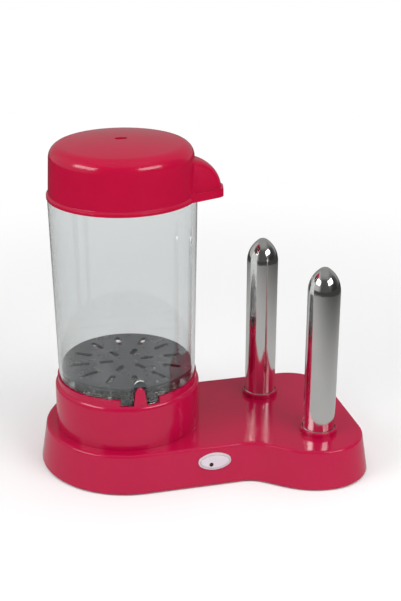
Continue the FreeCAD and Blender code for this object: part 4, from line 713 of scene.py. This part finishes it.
# %% A tree and its turned mesh
def new_tree(name, sizes):
    """A tree from points to a mesh, with one input for each named size."""
    tree = bpy.data.node_groups.new(name, "GeometryNodeTree")
    tree.interface.new_socket("Points", in_out="INPUT", socket_type="NodeSocketGeometry")
    for label in sizes:
        tree.interface.new_socket(label, in_out="INPUT", socket_type="NodeSocketFloat")
    tree.interface.new_socket("Material", in_out="INPUT", socket_type="NodeSocketMaterial")
    tree.interface.new_socket("Mesh", in_out="OUTPUT", socket_type="NodeSocketGeometry")
    return tree, add(tree, "NodeGroupInput").outputs


def turned(tree, around, radius, height, outline):
    """A closed mesh turned about z; the outline's points are shares, bottom to top."""
    grid = add(tree, "GeometryNodeMeshGrid", {
        "Size X": 1.0, "Size Y": 1.0, "Vertices X": around + 1, "Vertices Y": len(outline)})
    spot = add(tree, "GeometryNodeInputPosition").outputs[0]
    across = add(tree, "ShaderNodeSeparateXYZ", {0: spot}).outputs["X"]
    angle = add(tree, "ShaderNodeMath", {0: across, 1: 2 * math.pi}, operation="MULTIPLY")
    number = add(tree, "GeometryNodeInputIndex").outputs[0]
    row = add(tree, "ShaderNodeMath", {0: number, 1: float(len(outline))}, operation="MODULO")
    chosen = add(tree, "GeometryNodeIndexSwitch", data_type="VECTOR")
    while len(chosen.index_switch_items) < len(outline):
        chosen.index_switch_items.new()
    tree.links.new(row.outputs[0], chosen.inputs[0])
    for place, (out, up) in enumerate(outline, 1):
        chosen.inputs[place].default_value = (out, 0.0, up)
    full = add(tree, "ShaderNodeCombineXYZ", {"X": radius, "Z": height})
    point = add(tree, "ShaderNodeVectorMath", {
        0: chosen.outputs[0], 1: full.outputs[0]}, operation="MULTIPLY")
    lathe = add(tree, "ShaderNodeVectorRotate", {
        "Vector": point.outputs[0], "Angle": angle.outputs[0]}, rotation_type="Z_AXIS")
    shaped = add(tree, "GeometryNodeSetPosition", {
        "Geometry": grid.outputs["Mesh"], "Position": lathe.outputs[0]})
    return add(tree, "GeometryNodeMergeByDistance", {
        "Geometry": shaped.outputs[0], "Distance": DOUBLED}).outputs[0]


print("points closer than", DOUBLED / MM, "mm are merged")

# %% [markdown]
# A tree puts its part on every point it is given, each at a random turn, as
# a screwdriver leaves them. The points come from a small mesh that carries
# the modifier; once the result is copied to a plain mesh, it can go.

# %% From the tree to a piece
SPIN_SEED = 7


def placed(tree, part, given, tilt=0.0):
    """One part on each point at a random turn, joined into a mesh with its material."""
    spin = add(tree, "FunctionNodeRandomValue", {
        "Max": 2 * math.pi, "Seed": SPIN_SEED}, data_type="FLOAT")
    turn = add(tree, "ShaderNodeCombineXYZ", {"X": tilt, "Z": spin.outputs["Value"]})
    copies = add(tree, "GeometryNodeInstanceOnPoints", {
        "Points": given["Points"], "Instance": part, "Rotation": turn.outputs[0]})
    real = add(tree, "GeometryNodeRealizeInstances", {"Geometry": copies.outputs[0]})
    dressed = add(tree, "GeometryNodeSetMaterial", {
        "Geometry": real.outputs[0], "Material": given["Material"]})
    add(tree, "NodeGroupOutput", {"Mesh": dressed.outputs[0]})


def grown(name, tree, points, sizes, material):
    """The tree's result on these points, as a plain mesh object of its own."""
    dots = bpy.data.meshes.new(f"{name}_points")
    dots.from_pydata(points, [], [])
    source = bpy.data.objects.new(f"{name}_points", dots)
    bpy.context.scene.collection.objects.link(source)
    modifier = source.modifiers.new("grow", "NODES")
    modifier.node_group = tree
    wanted = {**sizes, "Material": material}
    for socket in tree.interface.items_tree:
        if socket.name in wanted and socket.in_out == "INPUT":
            modifier[socket.identifier] = wanted[socket.name]
    result = source.evaluated_get(bpy.context.evaluated_depsgraph_get())
    mesh = bpy.data.meshes.new_from_object(result)
    mesh.name = name
    source.modifiers.remove(modifier)
    bpy.data.objects.remove(source)
    piece = bpy.data.objects.new(name, mesh)
    bpy.context.scene.collection.objects.link(piece)
    print(name, "faces:", len(mesh.polygons))
    return piece


print("every random turn has seed", SPIN_SEED)

# %% [markdown]
# ## Screws
# Appliance screws have a domed head with a cross recess and a threaded
# shank. The recess is cut by two crossed bars, one after the other, because
# bars that are joined first leave a web where they cross.

# %% Screw head with its recess
SCREW_SIZES = {"Head Radius": 3.0 * MM, "Head Height": 1.2 * MM, "Shank Radius": 1.5 * MM,
               "Length": 13.2 * MM, "Pitch": 1.1 * MM, "Thread Depth": 0.22 * MM,
               "Recess Width": 0.6 * MM, "Recess Depth": 0.75 * MM}
DOMED_HEAD = [(0.0, 0.0), (0.6, 0.0), (0.84, 0.14), (0.96, 0.42), (1.0, 0.72), (1.0, 1.0),
              (0.0, 1.0)]
# a bar is this much of the head's radius long, and reaches as far below as it cuts
BAR_LENGTH = 1.15
BOTH_WAYS = 2.0


def recessed_head(tree, given):
    head = turned(tree, 32, given["Head Radius"], given["Head Height"], DOMED_HEAD)
    length = add(tree, "ShaderNodeMath", {
        0: given["Head Radius"], 1: BAR_LENGTH}, operation="MULTIPLY").outputs[0]
    depth = add(tree, "ShaderNodeMath", {
        0: given["Recess Depth"], 1: BOTH_WAYS}, operation="MULTIPLY").outputs[0]
    for x, y in ((length, given["Recess Width"]), (given["Recess Width"], length)):
        size = add(tree, "ShaderNodeCombineXYZ", {"X": x, "Y": y, "Z": depth})
        bar = add(tree, "GeometryNodeMeshCube", {"Size": size.outputs[0]})
        cut = add(tree, "GeometryNodeMeshBoolean", {
            "Mesh 1": head, "Mesh 2": bar.outputs["Mesh"]}, operation="DIFFERENCE", solver="EXACT")
        head = cut.outputs["Mesh"]
    return head


print("head", SCREW_SIZES["Head Radius"] * 2 / MM, "mm across")

# %% [markdown]
# A thread climbs one pitch for each turn. So a point's height in pitches, less
# its bearing in turns, tells how far it is from the crest, and a wave of that
# number presses the plain bar in between the crests.

# %% Threaded shank
def threaded_shank(tree, given):
    """The shank from inside the head to its tip."""
    inside = add(tree, "ShaderNodeMath", {
        0: given["Head Height"], 1: 0.8}, operation="MULTIPLY").outputs[0]
    run = add(tree, "ShaderNodeMath", {
        0: given["Length"], 1: inside}, operation="SUBTRACT").outputs[0]
    middle = add(tree, "ShaderNodeMath", {0: run, 1: 0.5, 2: inside}, operation="MULTIPLY_ADD")
    bar = add(tree, "GeometryNodeMeshCylinder", {
        "Vertices": 18, "Side Segments": 56, "Radius": given["Shank Radius"], "Depth": run},
        fill_type="TRIANGLE_FAN")
    lift = add(tree, "ShaderNodeCombineXYZ", {"Z": middle.outputs[0]})
    plain = add(tree, "GeometryNodeSetPosition", {
        "Geometry": bar.outputs["Mesh"], "Offset": lift.outputs[0]})
    place = add(tree, "GeometryNodeInputPosition").outputs[0]
    apart = add(tree, "ShaderNodeSeparateXYZ", {0: place}).outputs
    bearing = add(tree, "ShaderNodeMath", {0: apart["Y"], 1: apart["X"]}, operation="ARCTAN2")
    turns = add(tree, "ShaderNodeMath", {
        0: bearing.outputs[0], 1: 1 / (2 * math.pi)}, operation="MULTIPLY")
    climbed = add(tree, "ShaderNodeMath", {0: apart["Z"], 1: given["Pitch"]}, operation="DIVIDE")
    phase = add(tree, "ShaderNodeMath", {
        0: climbed.outputs[0], 1: turns.outputs[0]}, operation="SUBTRACT")
    groove = add(tree, "ShaderNodeMath", {0: phase.outputs[0], 1: 0.5}, operation="PINGPONG")
    depth = add(tree, "ShaderNodeMath", {
        0: groove.outputs[0], 1: given["Thread Depth"]}, operation="MULTIPLY")
    pressed = add(tree, "ShaderNodeMath", {0: depth.outputs[0], 1: -2.0}, operation="MULTIPLY")
    outward = add(tree, "ShaderNodeVectorMath", {
        0: place, 1: (1.0, 1.0, 0.0)}, operation="MULTIPLY")
    unit = add(tree, "ShaderNodeVectorMath", {0: outward.outputs[0]}, operation="NORMALIZE")
    shift = add(tree, "ShaderNodeVectorMath", {
        0: unit.outputs[0], "Scale": pressed.outputs[0]}, operation="SCALE")
    return add(tree, "GeometryNodeSetPosition", {
        "Geometry": plain.outputs[0], "Offset": shift.outputs[0]}).outputs[0]


print("thread of pitch", SCREW_SIZES["Pitch"] / MM, "mm")

# %% [markdown]
# The solids of the clamp's screws are heads only, so their screws get a short
# shank as well. Those heads look up; all the others look down.

# %% Screws in place
CLAMP_SHANK = 4.0 * MM


def screw_tree(tilt):
    """A screw with its head at the bottom of each point, or at its top with a tilt of pi."""
    tree, given = new_tree("cross_recess_screw", SCREW_SIZES)
    both = add(tree, "GeometryNodeJoinGeometry")
    tree.links.new(threaded_shank(tree, given), both.inputs[0])
    tree.links.new(recessed_head(tree, given), both.inputs[0])
    placed(tree, both.outputs[0], given, tilt)
    return tree


def on_screws(node, body, tilt, length):
    """New screws where a node's solids are; a tilt of pi turns the heads up."""
    seats = [(middle.x, middle.y, high if tilt else low) for middle, low, high in islands(node)]
    sizes = dict(SCREW_SIZES, Length=length)
    piece = grown(f"{node}_cross_recess", screw_tree(tilt), seats, sizes, zinc_plate)
    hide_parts(node)
    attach(piece, body)


on_screws("cover_screws", "base", 0.0, measured("cover_screws"))
on_screws("spike_screws", "base", 0.0, measured("spike_screws"))
on_screws("clamp_screws", "base", math.pi, measured("clamp_screws") + CLAMP_SHANK)

# %% [markdown]
# ## Nuts
# The bowl and the thermostat are held by hexagon nuts. A nut is a turned
# part with six sides only; its bore is cut round afterwards. Pressing leaves
# a small chamfer on both faces, without which an edge catches no light.

# %% Hexagon nuts
CHAMFERED = [(0.0, 0.0), (0.88, 0.0), (1.0, 0.14), (1.0, 0.86), (0.88, 1.0), (0.0, 1.0)]
DRILL_LENGTH = 4.0


def nut_tree():
    tree, given = new_tree("hexagon_nut", ["Corner Radius", "Height", "Bore Radius"])
    body = turned(tree, 6, given["Corner Radius"], given["Height"], CHAMFERED)
    deep = add(tree, "ShaderNodeMath", {0: given["Height"], 1: DRILL_LENGTH}, operation="MULTIPLY")
    drill = add(tree, "GeometryNodeMeshCylinder", {
        "Vertices": 24, "Depth": deep.outputs[0], "Radius": given["Bore Radius"]})
    cut = add(tree, "GeometryNodeMeshBoolean", {
        "Mesh 1": body, "Mesh 2": drill.outputs["Mesh"]}, operation="DIFFERENCE", solver="EXACT")
    placed(tree, cut.outputs["Mesh"], given)
    return tree


def on_nuts(node, body, flats, bore):
    """New nuts where a node's solids are, by their width across the flats."""
    seats = [(middle.x, middle.y, low) for middle, low, high in islands(node)]
    sizes = {"Corner Radius": flats / 2 / math.cos(math.pi / 6), "Height": measured(node),
             "Bore Radius": bore / 2}
    piece = grown(f"{node}_hexagon", nut_tree(), seats, sizes, zinc_plate)
    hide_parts(node)
    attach(piece, body)


on_nuts("boiler_nuts", "base", 7.0 * MM, 4.0 * MM)
on_nuts("strap_nuts", "base", 5.5 * MM, 3.0 * MM)

# %% [markdown]
# ## Rubber feet
# A foot is a moulded rubber button with a ring groove in its sole, which
# makes it grip like a suction cup. The outline runs from the middle of the
# sole outwards and up.

# %% Feet
FOOT_RADIUS = 7.0 * MM
foot_height = measured("rubber_feet")
groove = 0.8 * MM / foot_height
GROOVED_SOLE = [(0.0, groove), (0.38, groove), (0.46, 0.0), (0.80, 0.0), (0.91, 0.07),
                (0.98, 0.22), (1.0, 0.45), (1.0, 1.0), (0.0, 1.0)]


def foot_tree():
    tree, given = new_tree("grooved_foot", ["Radius", "Height"])
    placed(tree, turned(tree, 40, given["Radius"], given["Height"], GROOVED_SOLE), given)
    return tree


seats = [(middle.x, middle.y, low) for middle, low, high in islands("rubber_feet")]
feet = grown("grooved_feet", foot_tree(), seats, {"Radius": FOOT_RADIUS, "Height": foot_height},
             foot_rubber)
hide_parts("rubber_feet")
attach(feet, "base")

# %% [markdown]
# ## Heating wire
# Each spike is warmed by resistance wire wound on its ceramic core. A spiral
# curve with equal radii is a helix, and a small circle swept along it is the
# wire. The core has a waist for the winding, whose ends the cuffs hold.

# %% Resistance winding
PITCH = 2.6 * MM
WAIST_RADIUS = 10.4 * MM
CUFF_BELOW = 13.5 * MM
CUFF_ABOVE = 7.5 * MM


def swept(tree, line, thickness, sides):
    """A wire along a curve, with closed ends."""
    section = add(tree, "GeometryNodeCurvePrimitiveCircle", {
        "Resolution": sides, "Radius": thickness})
    return add(tree, "GeometryNodeCurveToMesh", {
        "Curve": line, "Fill Caps": True,
        "Profile Curve": section.outputs["Curve"]}).outputs["Mesh"]


def coiled(tree, given, turns, steps):
    """A helix of even pitch up the z axis."""
    return add(tree, "GeometryNodeCurveSpiral", {
        "Resolution": steps, "Rotations": float(turns), "Start Radius": given["Radius"],
        "End Radius": given["Radius"], "Height": given["Height"]}).outputs["Curve"]


def winding_tree(turns):
    tree, given = new_tree("resistance_winding", ["Radius", "Height", "Wire Radius"])
    wire = swept(tree, coiled(tree, given, turns, steps=16), given["Wire Radius"], sides=6)
    placed(tree, wire, given)
    return tree


for side in ("front", "rear"):
    low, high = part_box(f"spike_heater_{side}")
    start, end = low.z + CUFF_BELOW, high.z - CUFF_ABOVE
    winding = grown(f"spike_winding_{side}", winding_tree(round((end - start) / PITCH)),
                    [((low.x + high.x) / 2, (low.y + high.y) / 2, start)],
                    {"Radius": WAIST_RADIUS, "Height": end - start, "Wire Radius": 0.4 * MM},
                    resistance_alloy)
    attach(winding, "base")

# %% [markdown]
# ## Return spring
# A coil spring pushes the button back. Its end turns are closed, so that they
# bear flat, and the turns between them share what is left of its length. The
# plain helix is therefore climbed anew: three ramps along it, one for each
# end turn and one for the open turns, add up to the height of every point.

# %% Spring with closed ends
SPRING_TURNS = 6
# a closed turn climbs by just more than the wire's thickness
CLOSED_CLIMB = 2.1


def spring_tree(turns):
    tree, given = new_tree("closed_end_spring", ["Radius", "Height", "Wire Radius"])
    coil = coiled(tree, given, turns, steps=24)
    along = add(tree, "GeometryNodeSplineParameter").outputs["Factor"]
    run = add(tree, "ShaderNodeMath", {0: along, 1: float(turns)}, operation="MULTIPLY")
    closed = add(tree, "ShaderNodeMath", {
        0: given["Wire Radius"], 1: CLOSED_CLIMB}, operation="MULTIPLY").outputs[0]
    opened = add(tree, "ShaderNodeMath", {
        0: closed, 1: -2.0, 2: given["Height"]}, operation="MULTIPLY_ADD").outputs[0]
    climb = 0.0
    for first, last, rise in ((0, 1, closed), (1, turns - 1, opened), (turns - 1, turns, closed)):
        part = add(tree, "ShaderNodeMapRange", {
            "Value": run.outputs[0], "From Min": float(first), "From Max": float(last),
            "To Max": rise})
        climb = add(tree, "ShaderNodeMath", {0: climb, 1: part.outputs[0]}).outputs[0]
    spot = add(tree, "GeometryNodeInputPosition").outputs[0]
    apart = add(tree, "ShaderNodeSeparateXYZ", {0: spot}).outputs
    moved = add(tree, "ShaderNodeCombineXYZ", {"X": apart["X"], "Y": apart["Y"], "Z": climb})
    line = add(tree, "GeometryNodeSetPosition", {"Geometry": coil, "Position": moved.outputs[0]})
    placed(tree, swept(tree, line.outputs[0], given["Wire Radius"], sides=10), given)
    return tree


print("spring of", SPRING_TURNS, "turns")

# %% [markdown]
# The spring leans with the front wall, so its solid is measured along the way
# that the button goes in, not along x, y and z. It does not move with the
# button, because its far end stands still; it is built at rest and stays with
# the base.

# %% Spring in its place
WIRE = 0.4 * MM
press = next(joint for joint in frame["record"]["behaviour"]["joints"]
             if joint["name"] == "power_button_press")
inward = Vector(press["axis"]).normalized()
sideways = Vector((1.0, 0.0, 0.0))
upward = sideways.cross(inward)


def extent(name, direction):
    """How far a CAD node reaches along a direction, as its lowest and highest measure."""
    solid = frame["nodes"][name]
    measures = [(solid.matrix_world @ vert.co).dot(direction) for vert in solid.data.vertices]
    return min(measures), max(measures)


left, right = extent("button_spring", sideways)
bottom, top = extent("button_spring", upward)
near, fixed = extent("button_spring", inward)
stands = sideways * (left + right) / 2 + upward * (bottom + top) / 2 + inward * fixed
leaning = (-inward).to_track_quat("Z", "Y").to_matrix().to_4x4()
coil = grown("closed_end_spring", spring_tree(SPRING_TURNS), [(0.0, 0.0, WIRE)],
             {"Radius": (right - left) / 2 - WIRE, "Height": fixed - near - 2 * WIRE,
              "Wire Radius": WIRE}, spring_wire)
coil.data.transform(Matrix.Translation(stands) @ leaning)
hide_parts("button_spring")
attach(coil, "base")
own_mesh(coil)
